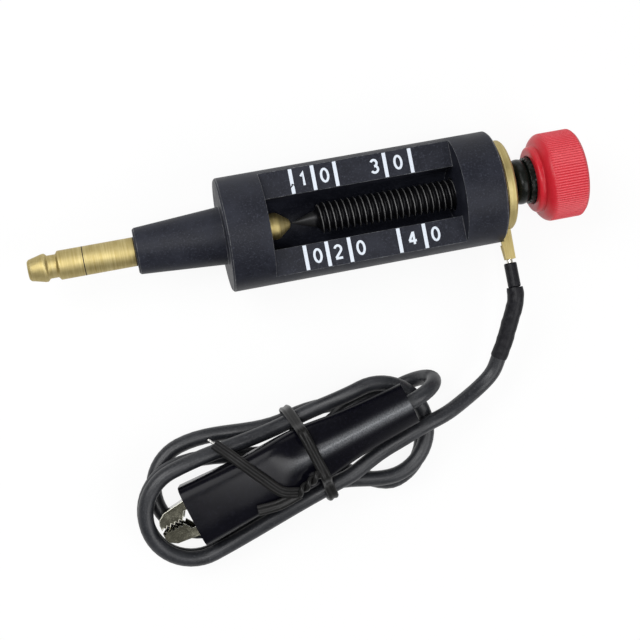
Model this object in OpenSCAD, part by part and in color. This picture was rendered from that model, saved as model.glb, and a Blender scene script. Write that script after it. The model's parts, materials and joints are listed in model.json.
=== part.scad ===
// Spark plug tester: an insulated barrel with a brass plug terminal, a needle screw that sets
// the spark gap seen through a cut-away window, and an earth lead folded into a tied hank.
// X runs along the barrel towards the knob, Z is up, and the barrel lies on the plane Z = 0.

/* [Barrel] */
// Outside diameter of the barrel
barrel_d = 25.4; // [22:0.1:30]
// Length of the barrel without its nose
barrel_l = 62; // [56:0.5:74]
// Length of the round flange before the window
front_flange_l = 9.5; // [7:0.1:13]
// Length of the round flange behind the window
rear_flange_l = 9.4; // [7:0.1:13]
// Thickness of the wall between the window and the bush
rear_web = 3; // [2:0.1:4]
// Height of the window flat above the barrel's axis
flat_h = 5.6; // [5:0.1:7]
// Width of the trough that the screw lies in
trough_w = 11.2; // [9.6:0.1:13]
// Length of the conical nose
nose_l = 19.4; // [14:0.1:26]
// Diameter of the nose at its small end
nose_tip_d = 10.3; // [9:0.1:12]
// Diameter of the nose where it meets the barrel
nose_root_d = 12.9; // [11:0.1:16]
// Bevel on the moulding's outer edges
edge_break = 0.4; // [0.2:0.05:0.8]

/* [Electrode and terminal] */
// Diameter of the brass rod and the terminal nut's round body
rod_d = 6.4; // [6.2:0.1:7]
// Diameter of the rod inside the nose
core_d = 5.6; // [4.8:0.1:6]
// Length of bare rod between the nose and the terminal nut
shank_l = 11.3; // [6:0.1:18]
// Diameter of the dome in the window
dome_d = 6; // [5:0.1:6.4]
// How far the dome stands into the window
dome_reach = 5.8; // [4.5:0.1:8]
// Length of the dome's conical end
dome_nose_l = 2.7; // [1.5:0.1:4]
// Diameter of the stud in the terminal nut
stud_d = 4; // [3:0.1:4.4]
// Length of the stud
stud_l = 7.5; // [5:0.1:9]
// Length of the terminal nut
terminal_l = 12.1; // [11:0.1:15]
// Diameter of the terminal nut's flat tip
terminal_tip_d = 4.7; // [3.5:0.1:5.5]
// Diameter of the terminal nut's bulge
terminal_bulge_d = 6.2; // [5.8:0.05:6.4]
// Diameter of the groove behind the bulge
terminal_neck_d = 5.1; // [4.8:0.1:5.6]
// Length from the tip to the bulge
terminal_cone_l = 3.9; // [3:0.1:5]
// Length of the groove
terminal_neck_l = 2.8; // [2:0.1:4]

/* [Bush and lug] */
// Thickness of the lug's sheet
lug_t = 0.8; // [0.5:0.05:1.2]
// Diameter of the lug's ring
lug_d = 19.8; // [17:0.1:21]
// Diameter of the lug's crimp barrel at its root
crimp_d = 2.9; // [2.6:0.1:3.4]
// Diameter of the crimp barrel at its end
crimp_tip_d = 2.3; // [2.1:0.1:2.5]
// Length of the crimp barrel
crimp_l = 3.4; // [3.2:0.1:6]
// Diameter of the bare conductor
conductor_d = 1.5; // [1.2:0.1:1.6]
// Diameter of the bush's flange
bush_flange_d = 20.4; // [18:0.1:22]
// Thickness of the bush's flange
bush_flange_t = 2.1; // [1.5:0.1:3]
// Diameter of the bush in the barrel
bush_d = 12; // [10:0.1:14]

/* [Screw and knob] */
// Outside diameter of the thread
screw_d = 6.8; // [6:0.1:7.2]
// Pitch of the thread
screw_pitch = 1.4; // [1.2:0.05:1.8]
// Depth of the thread
thread_depth = 0.75; // [0.5:0.05:0.9]
// Length of the needle point
needle_l = 6.1; // [4:0.1:9]
// Diameter at the needle's root
needle_d = 4; // [3:0.1:4.6]
// Spark gap between the needle and the dome
spark_gap = 0.3; // [0.2:0.05:2]
// Distance from the bush to the knob's collar
knob_standoff = 6; // [5.5:0.1:12]
// Length of the knob
knob_l = 11; // [8:0.1:16]
// Diameter of the knob's ribbed rim
knob_d = 20; // [17:0.1:26]
// Diameter of the knob's collar
collar_d = 15; // [13:0.1:16.5]
// Length from the collar's face to the rim
shoulder_l = 2.8; // [2:0.1:4.5]
// Length of screw held in the knob
screw_grip = 6.5; // [4:0.1:7.5]
// Outside diameter of the front rubber ring
o_ring_d = 10.3; // [9.6:0.1:12]
// Thickness of the front rubber ring
o_ring_t = 2.8; // [2:0.1:3]
// Outside diameter of the rear rubber washer
washer_d = 10.9; // [10:0.1:12]
// Thickness of the rear rubber washer
washer_t = 1.6; // [1:0.1:2]
// Depth of the washer's seat in the collar
washer_seat = 0.4; // [0.2:0.05:0.8]

/* [Lead] */
// Diameter of the lead
lead_d = 3.5; // [3:0.1:3.6]
// Diameter of the small sleeve next to the lug
sleeve_d = 2.9; // [2.8:0.1:3.6]
// Length of the small sleeve
sleeve_l = 5.6; // [4:0.1:8]
// Bare wire between the crimp and the small sleeve
bare_l = 0.8; // [0.4:0.1:2]
// Diameter of the heat-shrunk sleeve
shrink_d = 3.9; // [3.7:0.1:4.6]

/* [Clip] */
// Length of the boot
boot_l = 53.8; // [50:0.1:56]
// Width of the boot at its mouth
boot_mouth_w = 14.4; // [14.2:0.1:15]
// Height of the boot at its mouth
boot_mouth_h = 10.6; // [10.4:0.1:11]
// Width of the boot at its rear
boot_rear_w = 9.6; // [9.2:0.1:10.4]
// Height of the boot at its rear
boot_rear_h = 9.4; // [8.6:0.1:9.6]
// Wall of the boot
boot_wall = 0.8; // [0.6:0.05:0.9]
// Width of the fixed jaw's channel
jaw_w = 7.2; // [6.8:0.1:7.6]
// Thickness of the jaws' sheet
jaw_sheet = 0.6; // [0.5:0.05:0.7]
// How far the jaws stand out of the boot
jaw_reach = 7.4; // [6:0.1:7.6]
// Diameter of the jaws' rivet
pin_d = 2.2; // [1.8:0.1:2.4]
// Diameter of the rivet's heads
pin_head_d = 3.4; // [2.8:0.1:3.6]
// Thickness of the rivet's heads
pin_head_t = 0.45; // [0.3:0.05:0.5]
// Wire of the torsion spring
spring_wire = 0.7; // [0.5:0.05:0.75]

/* [Twist tie] */
// Width of the tie's strip
tie_w = 2.4; // [1.8:0.1:3]
// Thickness of the tie's strip
tie_t = 0.8; // [0.6:0.05:0.8]
// Diameter of the tie's wire core
tie_core_d = 0.6; // [0.4:0.05:0.6]
// Bare wire at the end of the long tail
tie_core_l = 1.8; // [1:0.1:3]

/* [Hidden] */
$fn = 64;

// Radial clearance of a fit and of the screw in the barrel's wall, and how far a cut runs past a face
fit_gap = 0.05;
screw_clear = 0.3;
past = 1;

// Stations along the axis, from the terminal's tip to the knob's rear face
overall_l = terminal_l + shank_l + nose_l + barrel_l + lug_t + bush_flange_t + knob_standoff + knob_l;
x_tip = -overall_l / 2;
x_seam = x_tip + terminal_l;
x_nose = x_seam + shank_l;
x_barrel = x_nose + nose_l;
x_front_step = x_barrel + front_flange_l;
x_barrel_end = x_barrel + barrel_l;
x_rear_step = x_barrel_end - rear_flange_l;
x_bush = x_barrel_end + lug_t;
x_bush_end = x_bush + bush_flange_t;
x_knob = x_bush_end + knob_standoff;
x_needle = x_front_step + dome_reach + spark_gap;
window_l = x_rear_step - x_front_step;
axis_z = barrel_d / 2;

// Thread
thread_sides = 16;
bush_bore_d = screw_d + 2 * fit_gap;
thread_root = screw_d / 2 - thread_depth;
thread_l = x_knob + screw_grip - x_needle - needle_l;

// Rubber rings on the screw
ring_bore_d = screw_d + 2 * fit_gap;
o_ring_wire = (o_ring_d - ring_bore_d) / 2;
x_washer = x_knob + washer_seat - washer_t;
x_o_ring = x_washer - o_ring_t / 2;

// The lug's crimp lies beside the barrel's end, pointing to -Y
crimp_x = x_bush;
crimp_y = -(axis_z + 2 * edge_break);
bare_y = crimp_y - crimp_l;
sleeve_y = bare_y - bare_l;
shrink_y = sleeve_y - sleeve_l;
conductor_in = 3;

// The hank's own frame: along its runs, across them, and up
hank_at = [-9.35, -51, 0];
hank_turn = 16.7;
hank_join = 3;
// Heights of the cord's middle in the three layers
layer = [1.75, 6, 10.5];
// Folds in order from the clip: side, middle along, middle across, radius, height in, height out
hank_folds = [
    [-1, -25.2, 4.4, 10.2, layer[0], layer[0]],
    [1, 15.75, -5.55, 10.25, layer[0], 6.65],
    [-1, -28.9, 0.6, 10.7, layer[1], layer[0]],
    [1, 16.6, -3.3, 10.75, 7, 10],
    [-1, -29, 0.4, 10.5, layer[2], layer[1]]
];
// Where each run passes the waist under the tie: across and up
hank_waists = [[8.6, 2.7], [-4.8, 2.7], [2.1, 2.7], [-8.7, 6.5], [8.2, 7.2], [-8.7, 10.6]];
// Where the first run starts after the turn out of the boot
tail_end = [26, 3, 1.8];
// Length of lead inside the boot
tail_in = 25;
fold_steps = 6;
run_steps = 3;
lead_sides = 8;
hank_sides = 6;

// Route of the lead from the small sleeve to the hank, and the point where the heat shrink ends
lead_out = 3.5;
shrink_out = 1.2;
shrink_route = [
    [crimp_x, shrink_y, axis_z], [crimp_x, shrink_y - shrink_out, axis_z],
    [42.75, -27, 12.3], [41, -31, 10.9], [39.4, -35, 9.5], [37.6, -38.3, 8.35]
];
lead_route = [
    [37.6, -38.3, 8.35], [35.8, -41.6, 7.2], [31.9, -44.4, 6.9], [27, -46.7, 8.8], [22.5, -48.5, 10.7],
    [17.4, -49.8, 11.8], [11.8, -51.9, 11.4], [5.7, -54.1, 10.8],
    hank_point([hank_join + lead_out, hank_waists[5].x, hank_waists[5].y]),
    hank_point([hank_join, hank_waists[5].x, hank_waists[5].y])
];

// The clip lies along the hank with its rear end raised on the right-hand folds
clip_at = [-29.1, 0, 9];
clip_tilt = 7.5;
clip_axis = [cos(clip_tilt), 0, sin(clip_tilt)];
boot_rear = clip_at + boot_l * clip_axis;
boot_round = 2.2;
boot_slice = 0.1;

// Jaws, in the clip's own frame: X from the boot's mouth to its rear, Y across, Z along the rivet
pivot_x = 5;
jaw_slip = 0.15;
moving_jaw_w = jaw_w - 2 * jaw_sheet - 2 * jaw_slip;
tooth_count = 5;
tooth_h = 0.6;
tooth_from = 0.2;
teeth_end = -2.4;
throat_x = -1.2;
ear_r = 2;
ear_back = 8.8;
ear_clear = 2.6;
handle_end = 21;
web_back = 0.8;
web_front = 0.5;
tail_crimp_x = 27;
tail_crimp_l = 6;
tail_crimp_wall = 0.9;
tail_crimp_gap = 0.15;
tail_strap_w = 3;
jaw_outline = concat(
    [for (k = [0:tooth_count - 1]) each [
        [jaw_tooth_x(k), tooth_from], [jaw_tooth_x(k + 0.5), tooth_from + tooth_h]
    ]],
    [
        [teeth_end, tooth_from], [throat_x, 2], [1.6, 2.2], [pivot_x - ear_r, -ear_r], [pivot_x + ear_r, -ear_r],
        [8.4, 1.6], [handle_end, 3.4], [handle_end, 4.9], [8, 4.5], [0, 4.2],
        [2 - jaw_reach, 3.6], [0.4 - jaw_reach, 2.6], [-jaw_reach, 1.6]
    ]
);

// Torsion spring: a leg on each handle and two and a half coils round the rivet
spring_r = pin_d / 2 + 0.3 + spring_wire / 2;
spring_turns = 2.5;
spring_pitch = spring_wire + 0.5;
spring_leg = 12;
spring_leg_y = 3.4;
curl_steps = 8;

// Tie, in the hank's frame: the band's corners across and up, the knot, and the two tails
tie_band = [
    [-6.6, 0.5], [0, 0.5], [9.7, 0.5], [10.9, 1.6], [11.1, 3.6], [10.8, 7.6], [9.8, 10.4], [7.4, 14.9],
    [5.4, 18.5], [0, 18.8], [-5.4, 18.5], [-7.4, 15.2], [-10.5, 12.9], [-11.3, 10.1], [-11.2, 6.2],
    [-10.1, 3.4], [-8.4, 1.4]
];
tie_knot = [[-1, -4, 19.1], [-7, -5.8, 17.6]];
tie_knot_turns = 1.5;
tie_strand_d = 1.1;
tie_long_tail = [
    [-6.6, -5.7, 17.7], [-9.9, -3.6, 17.7], [-12.4, 1, 17.4], [-14.4, 5, 16.9], [-16, 8.2, 15.5], [-18, 12, 13.2]
];
tie_short_tail = [[-6.6, -5.9, 17.6], [-11.5, -6, 17], [-16.3, -5, 16.5]];

// A share of the way from 0 to 1 that starts and stops smoothly
function ease(t) = (1 - cos(180 * t)) / 2;
function unit(v) = v / norm(v);
function disc(d, sides) = [for (k = [0:sides - 1]) d / 2 * [cos(360 * k / sides), sin(360 * k / sides)]];
function strip(w, t) = [[-t / 2, -w / 2], [t / 2, -w / 2], [t / 2, w / 2], [-t / 2, w / 2]];
function jaw_tooth_x(k) = -jaw_reach + (teeth_end + jaw_reach) * k / tooth_count;
function hank_point(p) = hank_at + [
    p.x * cos(hank_turn) - p.y * sin(hank_turn), p.x * sin(hank_turn) + p.y * cos(hank_turn), p.z
];

// The turn out of the boot, down to the first run, which it meets level
tail_chord = tail_end - boot_rear;
tail_across = tail_chord - (tail_chord * clip_axis) * clip_axis;
tail_r = norm(tail_across) / 2;
function tail_point(a) =
    boot_rear + tail_r * (1 - cos(a)) * unit(tail_across) + tail_r * sin(a) * clip_axis;
tail_turn = 180 + clip_tilt;

// A fold's ends, and the points round it
function fold_start(f) = [f[1], f[2] - f[0] * f[3], f[4]];
function fold_end(f) = [f[1], f[2] + f[0] * f[3], f[5]];
function fold_point(f, a) =
    [f[1] + f[0] * f[3] * sin(a), f[2] - f[0] * f[3] * cos(a), f[4] + (f[5] - f[4]) * ease(a / 180)];

// Half a run: even steps along, easing across and up
function half_run(a, b) = [
    for (k = [1:run_steps]) let (t = k / run_steps)
        [a.x + (b.x - a.x) * t, a.y + (b.y - a.y) * ease(t), a.z + (b.z - a.z) * ease(t)]
];
function waist_point(i) = [0, hank_waists[i].x, hank_waists[i].y];
function run_from(i) = i == 0 ? tail_point(tail_turn) : fold_end(hank_folds[i - 1]);
function run_to(i) =
    i < len(hank_folds) ? fold_start(hank_folds[i]) : [hank_join, hank_waists[i].x, hank_waists[i].y];

// The hank's route from the clip to the free stretch of the lead
hank_route = concat(
    [boot_rear - tail_in * clip_axis, boot_rear - tail_in / 2 * clip_axis],
    [for (k = [0:fold_steps]) tail_point(tail_turn * k / fold_steps)],
    [for (i = [0:len(hank_waists) - 1]) each concat(
        half_run(run_from(i), waist_point(i)),
        i < len(hank_folds)
            ? concat(half_run(waist_point(i), run_to(i)),
                [for (k = [1:fold_steps]) fold_point(hank_folds[i], 180 * k / fold_steps)])
            : [run_to(i)]
    )]
);

// The least gap between turns of the hank, measured on points a quarter of a ring apart
gap_split = 4;
gap_skip = 12;
gap_points = [
    for (i = [0:len(hank_route) - 2]) for (k = [0:gap_split - 1])
        hank_route[i] + (hank_route[i + 1] - hank_route[i]) * k / gap_split
];
hank_gap = min([
    for (i = [0:len(gap_points) - gap_skip - 1]) min([
        for (j = [i + gap_skip:len(gap_points) - 1]) norm(gap_points[i] - gap_points[j])
    ])
]) - lead_d;
function route_length(p) = len(p) < 2 ? 0 : [for (i = 0, s = 0; i < len(p); i = i + 1,
    s = s + (i < len(p) ? norm(p[i] - p[i - 1]) : 0)) s][len(p) - 1];
union() {  // lead_hank
    echo(hank_gap = hank_gap, hank_length = route_length(hank_route), lead_length = route_length(lead_route));
}

// The spring's route from the fixed handle round the rivet to the moving handle
spring_h = spring_turns * spring_pitch;
spring_route = concat(
    [[pivot_x + spring_leg, spring_leg_y, -spring_h / 2]],
    [for (k = [0:spring_turns * curl_steps]) let (a = 90 + 360 * k / curl_steps)
        [pivot_x + spring_r * cos(a), spring_r * sin(a), spring_pitch * k / curl_steps - spring_h / 2]],
    [[pivot_x + spring_leg, -spring_leg_y, spring_h / 2]]
);

// A section carried along a route; the section's second axis leans towards up
function way(p, i, closed) = let (n = len(p)) closed
    ? unit(p[(i + 1) % n] - p[(i + n - 1) % n])
    : unit(p[min(i + 1, n - 1)] - p[max(i - 1, 0)]);
module sweep(route, section, up = [0, 0, 1], closed = false) {
    n = len(section);
    m = len(route);
    points = [
        for (i = [0:m - 1])
            let (t = way(route, i, closed), side = unit(cross(t, up)), lift = cross(side, t))
            for (s = section) route[i] + s.x * side + s.y * lift
    ];
    skin = [
        for (i = [0:(closed ? m - 1 : m - 2)]) for (k = [0:n - 1])
            let (a = i * n + k, b = i * n + (k + 1) % n, j = (i + 1) % m, c = j * n + (k + 1) % n, d = j * n + k)
            each [[a, b, c], [a, c, d]]
    ];
    caps = closed ? [] : [
        for (k = [1:n - 2]) each [[0, k + 1, k], [(m - 1) * n, (m - 1) * n + k, (m - 1) * n + k + 1]]
    ];
    polyhedron(points, concat(skin, caps));
}

// Local Z becomes the barrel's axis, starting at station x
module along_axis(x) { translate([x, 0, axis_z]) rotate([0, 90, 0]) children(); }
module in_hank() { translate(hank_at) rotate([0, 0, hank_turn]) children(); }
module in_clip() { in_hank() translate(clip_at) rotate([0, -clip_tilt, 0]) mirror([0, 1, 0]) children(); }
module beside(y) { translate([crimp_x, y, axis_z]) rotate([90, 0, 0]) children(); }

module barrel() {
    color([0.17, 0.18, 0.2]) difference() {
        along_axis(x_nose) rotate_extrude() polygon([
            [0, 0], [nose_tip_d / 2 - edge_break, 0], [nose_tip_d / 2, edge_break], [nose_root_d / 2, nose_l],
            [barrel_d / 2 - edge_break, nose_l], [barrel_d / 2, nose_l + edge_break],
            [barrel_d / 2, nose_l + barrel_l - edge_break], [barrel_d / 2 - edge_break, nose_l + barrel_l],
            [0, nose_l + barrel_l]
        ]);
        translate([x_front_step, -barrel_d / 2 - past, axis_z + flat_h])
            cube([window_l, barrel_d + 2 * past, barrel_d]);
        translate([x_front_step, -trough_w / 2, axis_z]) cube([window_l, trough_w, barrel_d]);
        along_axis(x_front_step) cylinder(d = trough_w, h = window_l);
        along_axis(x_nose - past) cylinder(d = core_d + 2 * fit_gap, h = nose_l + front_flange_l + 2 * past);
        along_axis(x_rear_step - past) cylinder(d = screw_d + 2 * screw_clear, h = rear_flange_l + 2 * past);
        along_axis(x_rear_step + rear_web) cylinder(d = bush_d + 2 * fit_gap, h = rear_flange_l);
    }
}

module nose_electrode() {
    rod_l = x_front_step - x_seam;
    dome_l = dome_reach - dome_nose_l;
    point_r = dome_d / 6;
    point_l = point_r / 2;
    color([0.78, 0.66, 0.36]) along_axis(x_seam) rotate_extrude() polygon([
        [0, -stud_l], [stud_d / 2, -stud_l], [stud_d / 2, 0], [rod_d / 2, 0], [rod_d / 2, shank_l],
        [core_d / 2, shank_l], [core_d / 2, rod_l], [dome_d / 2, rod_l], [dome_d / 2, rod_l + dome_l],
        [point_r, rod_l + dome_reach - point_l], [point_r / 2, rod_l + dome_reach - point_l / 4],
        [0, rod_l + dome_reach]
    ]);
}

module terminal_nut() {
    bulge_in = 0.5;
    color([0.8, 0.68, 0.36]) along_axis(x_tip) difference() {
        rotate_extrude() polygon([
            [0, 0], [terminal_tip_d / 2 - edge_break, 0], [terminal_tip_d / 2, edge_break],
            [terminal_bulge_d / 2, terminal_cone_l - bulge_in], [terminal_bulge_d / 2, terminal_cone_l],
            [terminal_neck_d / 2, terminal_cone_l + bulge_in],
            [terminal_neck_d / 2, terminal_cone_l + terminal_neck_l - bulge_in],
            [rod_d / 2, terminal_cone_l + terminal_neck_l], [rod_d / 2, terminal_l], [0, terminal_l]
        ]);
        translate([0, 0, terminal_l - stud_l - 2 * fit_gap])
            cylinder(d = stud_d + 2 * fit_gap, h = stud_l + past);
    }
}

module end_bush() {
    color([0.76, 0.66, 0.38]) difference() {
        union() {
            along_axis(x_rear_step + rear_web) cylinder(d = bush_d, h = rear_flange_l - rear_web + lug_t);
            along_axis(x_bush) rotate_extrude() polygon([
                [0, 0], [bush_flange_d / 2, 0], [bush_flange_d / 2, bush_flange_t - edge_break],
                [bush_flange_d / 2 - edge_break, bush_flange_t], [0, bush_flange_t]
            ]);
        }
        along_axis(x_rear_step - past)
            cylinder(d = bush_bore_d, h = rear_flange_l + lug_t + bush_flange_t + 2 * past);
    }
}

module ground_lug() {
    color([0.78, 0.68, 0.4]) difference() {
        union() {
            along_axis(x_barrel_end) cylinder(d = lug_d, h = lug_t);
            translate([x_barrel_end, crimp_y - crimp_d / 4, axis_z - crimp_d / 2])
                cube([lug_t, -crimp_y, crimp_d]);
            beside(crimp_y) cylinder(d1 = crimp_d, d2 = crimp_tip_d, h = crimp_l);
        }
        along_axis(x_barrel_end - past) cylinder(d = bush_d + 2 * fit_gap, h = lug_t + 2 * past);
        beside(bare_y + conductor_in + fit_gap)
            cylinder(d = conductor_d + 2 * fit_gap, h = conductor_in + fit_gap + past);
    }
}

module bare_conductor() {
    color([0.72, 0.45, 0.25]) beside(bare_y + conductor_in) cylinder(d = conductor_d, h = conductor_in + bare_l);
}

module crimp_sleeve() {
    color([0.1, 0.1, 0.11]) beside(sleeve_y) cylinder(d = sleeve_d, h = sleeve_l);
}

module heat_shrink() {
    color([0.12, 0.12, 0.13]) sweep(shrink_route, disc(shrink_d, lead_sides));
}

module ground_lead() {
    color([0.13, 0.13, 0.14]) sweep(lead_route, disc(lead_d, lead_sides));
}

module lead_hank() {
    color([0.13, 0.13, 0.14]) in_hank() sweep(hank_route, disc(lead_d, hank_sides));
}

// A single-start right-hand thread along local Z with a needle below it. Each pitch has a root row
// and a crest row, and a row ends where the row two above it begins.
module adjusting_screw() {
    n = thread_sides;
    rows = 2 * floor(thread_l / screw_pitch - 1.5);
    needle_ring = rows * n + n;
    end_ring = needle_ring + n;
    apex = end_ring + n;
    run_in = screw_pitch / 2;
    function corner(i, j) = j < n ? i * n + j : (i + 2) * n + j - n;
    function round_point(r, j, z) = [r * cos(360 * j / n), r * sin(360 * j / n), z];
    points = concat(
        [for (i = [0:rows]) for (j = [0:n - 1])
            round_point(i % 2 == 0 ? thread_root : screw_d / 2, j, run_in + screw_pitch * (i / 2 + j / n))],
        [for (j = [0:n - 1]) round_point(needle_d / 2, j, 0)],
        [for (j = [0:n - 1]) round_point(thread_root - fit_gap, j, thread_l)],
        [[0, 0, -needle_l]]
    );
    flanks = [
        for (i = [0:rows - 1]) for (j = [0:n - 1]) if (j < n - 1 || i + 3 <= rows)
            each [[corner(i, j), corner(i + 1, j), corner(i + 1, j + 1)],
                [corner(i, j), corner(i + 1, j + 1), corner(i, j + 1)]]
    ];
    needle = [
        for (j = [0:n - 1]) let (a = needle_ring + j, b = needle_ring + (j + 1) % n)
            each [[apex, a, b], [a, corner(0, j), corner(0, j + 1)], [a, corner(0, j + 1), b]]
    ];
    run_out = [
        for (j = [0:n - 2]) each [[corner(rows, j), end_ring + j, end_ring + j + 1],
            [corner(rows, j), end_ring + j + 1, corner(rows, j + 1)]]
    ];
    first = needle_ring;
    last = corner(rows, 0);
    seams = [
        [first, corner(2, 0), corner(1, 0)], [first, corner(1, 0), corner(0, 0)],
        [last, corner(rows - 2, n - 1), corner(rows - 1, n - 1)],
        [last, corner(rows - 1, n - 1), corner(rows, n - 1)],
        [last, corner(rows, n - 1), end_ring + n - 1], [last, end_ring + n - 1, end_ring]
    ];
    rear_face = [for (j = [1:n - 2]) [end_ring, end_ring + j + 1, end_ring + j]];
    color([0.2, 0.2, 0.21]) along_axis(x_needle + needle_l)
        polyhedron(points, concat(flanks, needle, run_out, seams, rear_face));
}

module knob() {
    rear_break = 0.8;
    collar_l = shoulder_l / 2;
    color([0.75, 0.16, 0.2]) along_axis(x_knob) difference() {
        rotate_extrude() polygon([
            [0, 0], [collar_d / 2, 0], [collar_d / 2, collar_l], [knob_d / 2 - collar_l / 2, collar_l],
            [knob_d / 2, shoulder_l], [knob_d / 2, knob_l - rear_break],
            [knob_d / 2 - rear_break, knob_l], [0, knob_l]
        ]);
        translate([0, 0, -past]) cylinder(d = screw_d + 2 * fit_gap, h = screw_grip + fit_gap + past);
        translate([0, 0, -past]) cylinder(d = washer_d + 2 * fit_gap, h = washer_seat + past);
    }
}

module o_ring() {
    color([0.08, 0.08, 0.09]) along_axis(x_o_ring) rotate_extrude()
        translate([(o_ring_d - o_ring_wire) / 2, 0]) scale([1, o_ring_t / o_ring_wire]) circle(d = o_ring_wire);
}

module rubber_washer() {
    color([0.1, 0.1, 0.1]) along_axis(x_washer) difference() {
        cylinder(d = washer_d, h = washer_t);
        translate([0, 0, -past]) cylinder(d = ring_bore_d, h = washer_t + 2 * past);
    }
}

module jaw(w) {
    difference() {
        translate([0, 0, -w / 2]) linear_extrude(w) polygon(jaw_outline);
        translate([0, 0, jaw_sheet - w / 2]) linear_extrude(w - 2 * jaw_sheet) {
            translate([web_front, -web_back]) polygon(jaw_outline);
            translate([throat_x, -ear_r - past]) square([ear_back - throat_x, ear_r + past + ear_clear]);
        }
        translate([pivot_x, 0, -w / 2 - past]) cylinder(d = pin_d + 2 * fit_gap, h = w + 2 * past);
    }
}

module fixed_jaw() {
    crimp_bore = lead_d + 2 * tail_crimp_gap;
    crimp_r = crimp_bore / 2 + tail_crimp_wall;
    crimp_end = tail_crimp_x + tail_crimp_l;
    color([0.75, 0.73, 0.66]) in_clip() difference() {
        union() {
            jaw(jaw_w);
            translate([0, 0, -tail_strap_w / 2]) linear_extrude(tail_strap_w) polygon([
                [handle_end - web_front, 4.9 - web_back], [handle_end, 4.9],
                [tail_crimp_x, crimp_r], [crimp_end, crimp_r], [crimp_end, crimp_r - tail_crimp_wall / 2],
                [tail_crimp_x, crimp_r - tail_crimp_wall / 2]
            ]);
            translate([tail_crimp_x, 0, 0]) rotate([0, 90, 0]) cylinder(r = crimp_r, h = tail_crimp_l);
        }
        translate([tail_crimp_x - past, 0, 0]) rotate([0, 90, 0])
            cylinder(d = crimp_bore, h = tail_crimp_l + 2 * past);
    }
}

module moving_jaw() {
    color([0.75, 0.73, 0.66]) in_clip() mirror([0, 1, 0]) jaw(moving_jaw_w);
}

module jaw_pin() {
    head_z = jaw_w / 2 + fit_gap;
    color([0.7, 0.69, 0.66]) in_clip() translate([pivot_x, 0, 0]) {
        translate([0, 0, -head_z - pin_head_t]) cylinder(d = pin_head_d, h = pin_head_t);
        translate([0, 0, -head_z]) cylinder(d = pin_d, h = 2 * head_z);
        translate([0, 0, head_z]) cylinder(d = pin_head_d, h = pin_head_t);
    }
}

module jaw_spring() {
    color([0.6, 0.6, 0.6]) in_clip() sweep(spring_route, disc(spring_wire, hank_sides));
}

module boot_form(inset, over) {
    module end(x, w, h) {
        for (y = [-1, 1], z = [-1, 1])
            translate([x, y * (w / 2 - boot_round), z * (h / 2 - boot_round)]) rotate([0, 90, 0])
                cylinder(r = boot_round - inset, h = boot_slice, $fn = 32);
    }
    hull() {
        end(-over, boot_mouth_w, boot_mouth_h);
        end(boot_l - boot_slice + over, boot_rear_w, boot_rear_h);
    }
}

module clip_boot() {
    color([0.07, 0.07, 0.08]) in_clip() difference() {
        boot_form(0, 0);
        boot_form(boot_wall, past);
    }
}

// One of the two strands of the tie's twisted knot
function knot_strand(turn) = let (
    a = tie_knot[0], b = tie_knot[1], t = unit(b - a), side = unit(cross(t, [0, 0, 1])), lift = cross(side, t)
) [for (k = [0:curl_steps * tie_knot_turns]) let (w = turn + 360 * k / curl_steps)
    a + (b - a) * k / (curl_steps * tie_knot_turns)
        + tie_strand_d / 2 * (cos(w) * side + sin(w) * lift)];

module twist_tie() {
    color([0.06, 0.06, 0.06]) in_hank() {
        sweep([for (p = tie_band) [0, p.x, p.y]], strip(tie_w, tie_t), [1, 0, 0], true);
        for (turn = [0, 180]) sweep(knot_strand(turn), disc(tie_strand_d, hank_sides));
        for (tail = [tie_long_tail, tie_short_tail]) sweep(tail, strip(tie_t, tie_w));
    }
}

module tie_core() {
    last = len(tie_long_tail) - 1;
    out = unit(tie_long_tail[last] - tie_long_tail[last - 1]);
    color([0.7, 0.7, 0.7]) in_hank()
        sweep([tie_long_tail[last], tie_long_tail[last] + tie_core_l * out], disc(tie_core_d, lead_sides));
}

barrel();
nose_electrode();
terminal_nut();
end_bush();
ground_lug();
bare_conductor();
crimp_sleeve();
heat_shrink();
adjusting_screw();
knob();
o_ring();
rubber_washer();
ground_lead();
lead_hank();
fixed_jaw();
moving_jaw();
jaw_pin();
jaw_spring();
clip_boot();
twist_tie();
tie_core();
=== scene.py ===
"""Looks of a spark plug tester: a windowed black barrel with a brass plug terminal, a needle screw with a
red ribbed knob, and an earth lead folded into a tied hank round its spring clip.

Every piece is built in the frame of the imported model, in metres. Sizes are written in millimetres and
scaled by MM where a mesh is made.
"""

from __future__ import annotations

import json
import logging
import math
from dataclasses import dataclass
from enum import Enum
from typing import Any, Callable, Sequence

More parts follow.
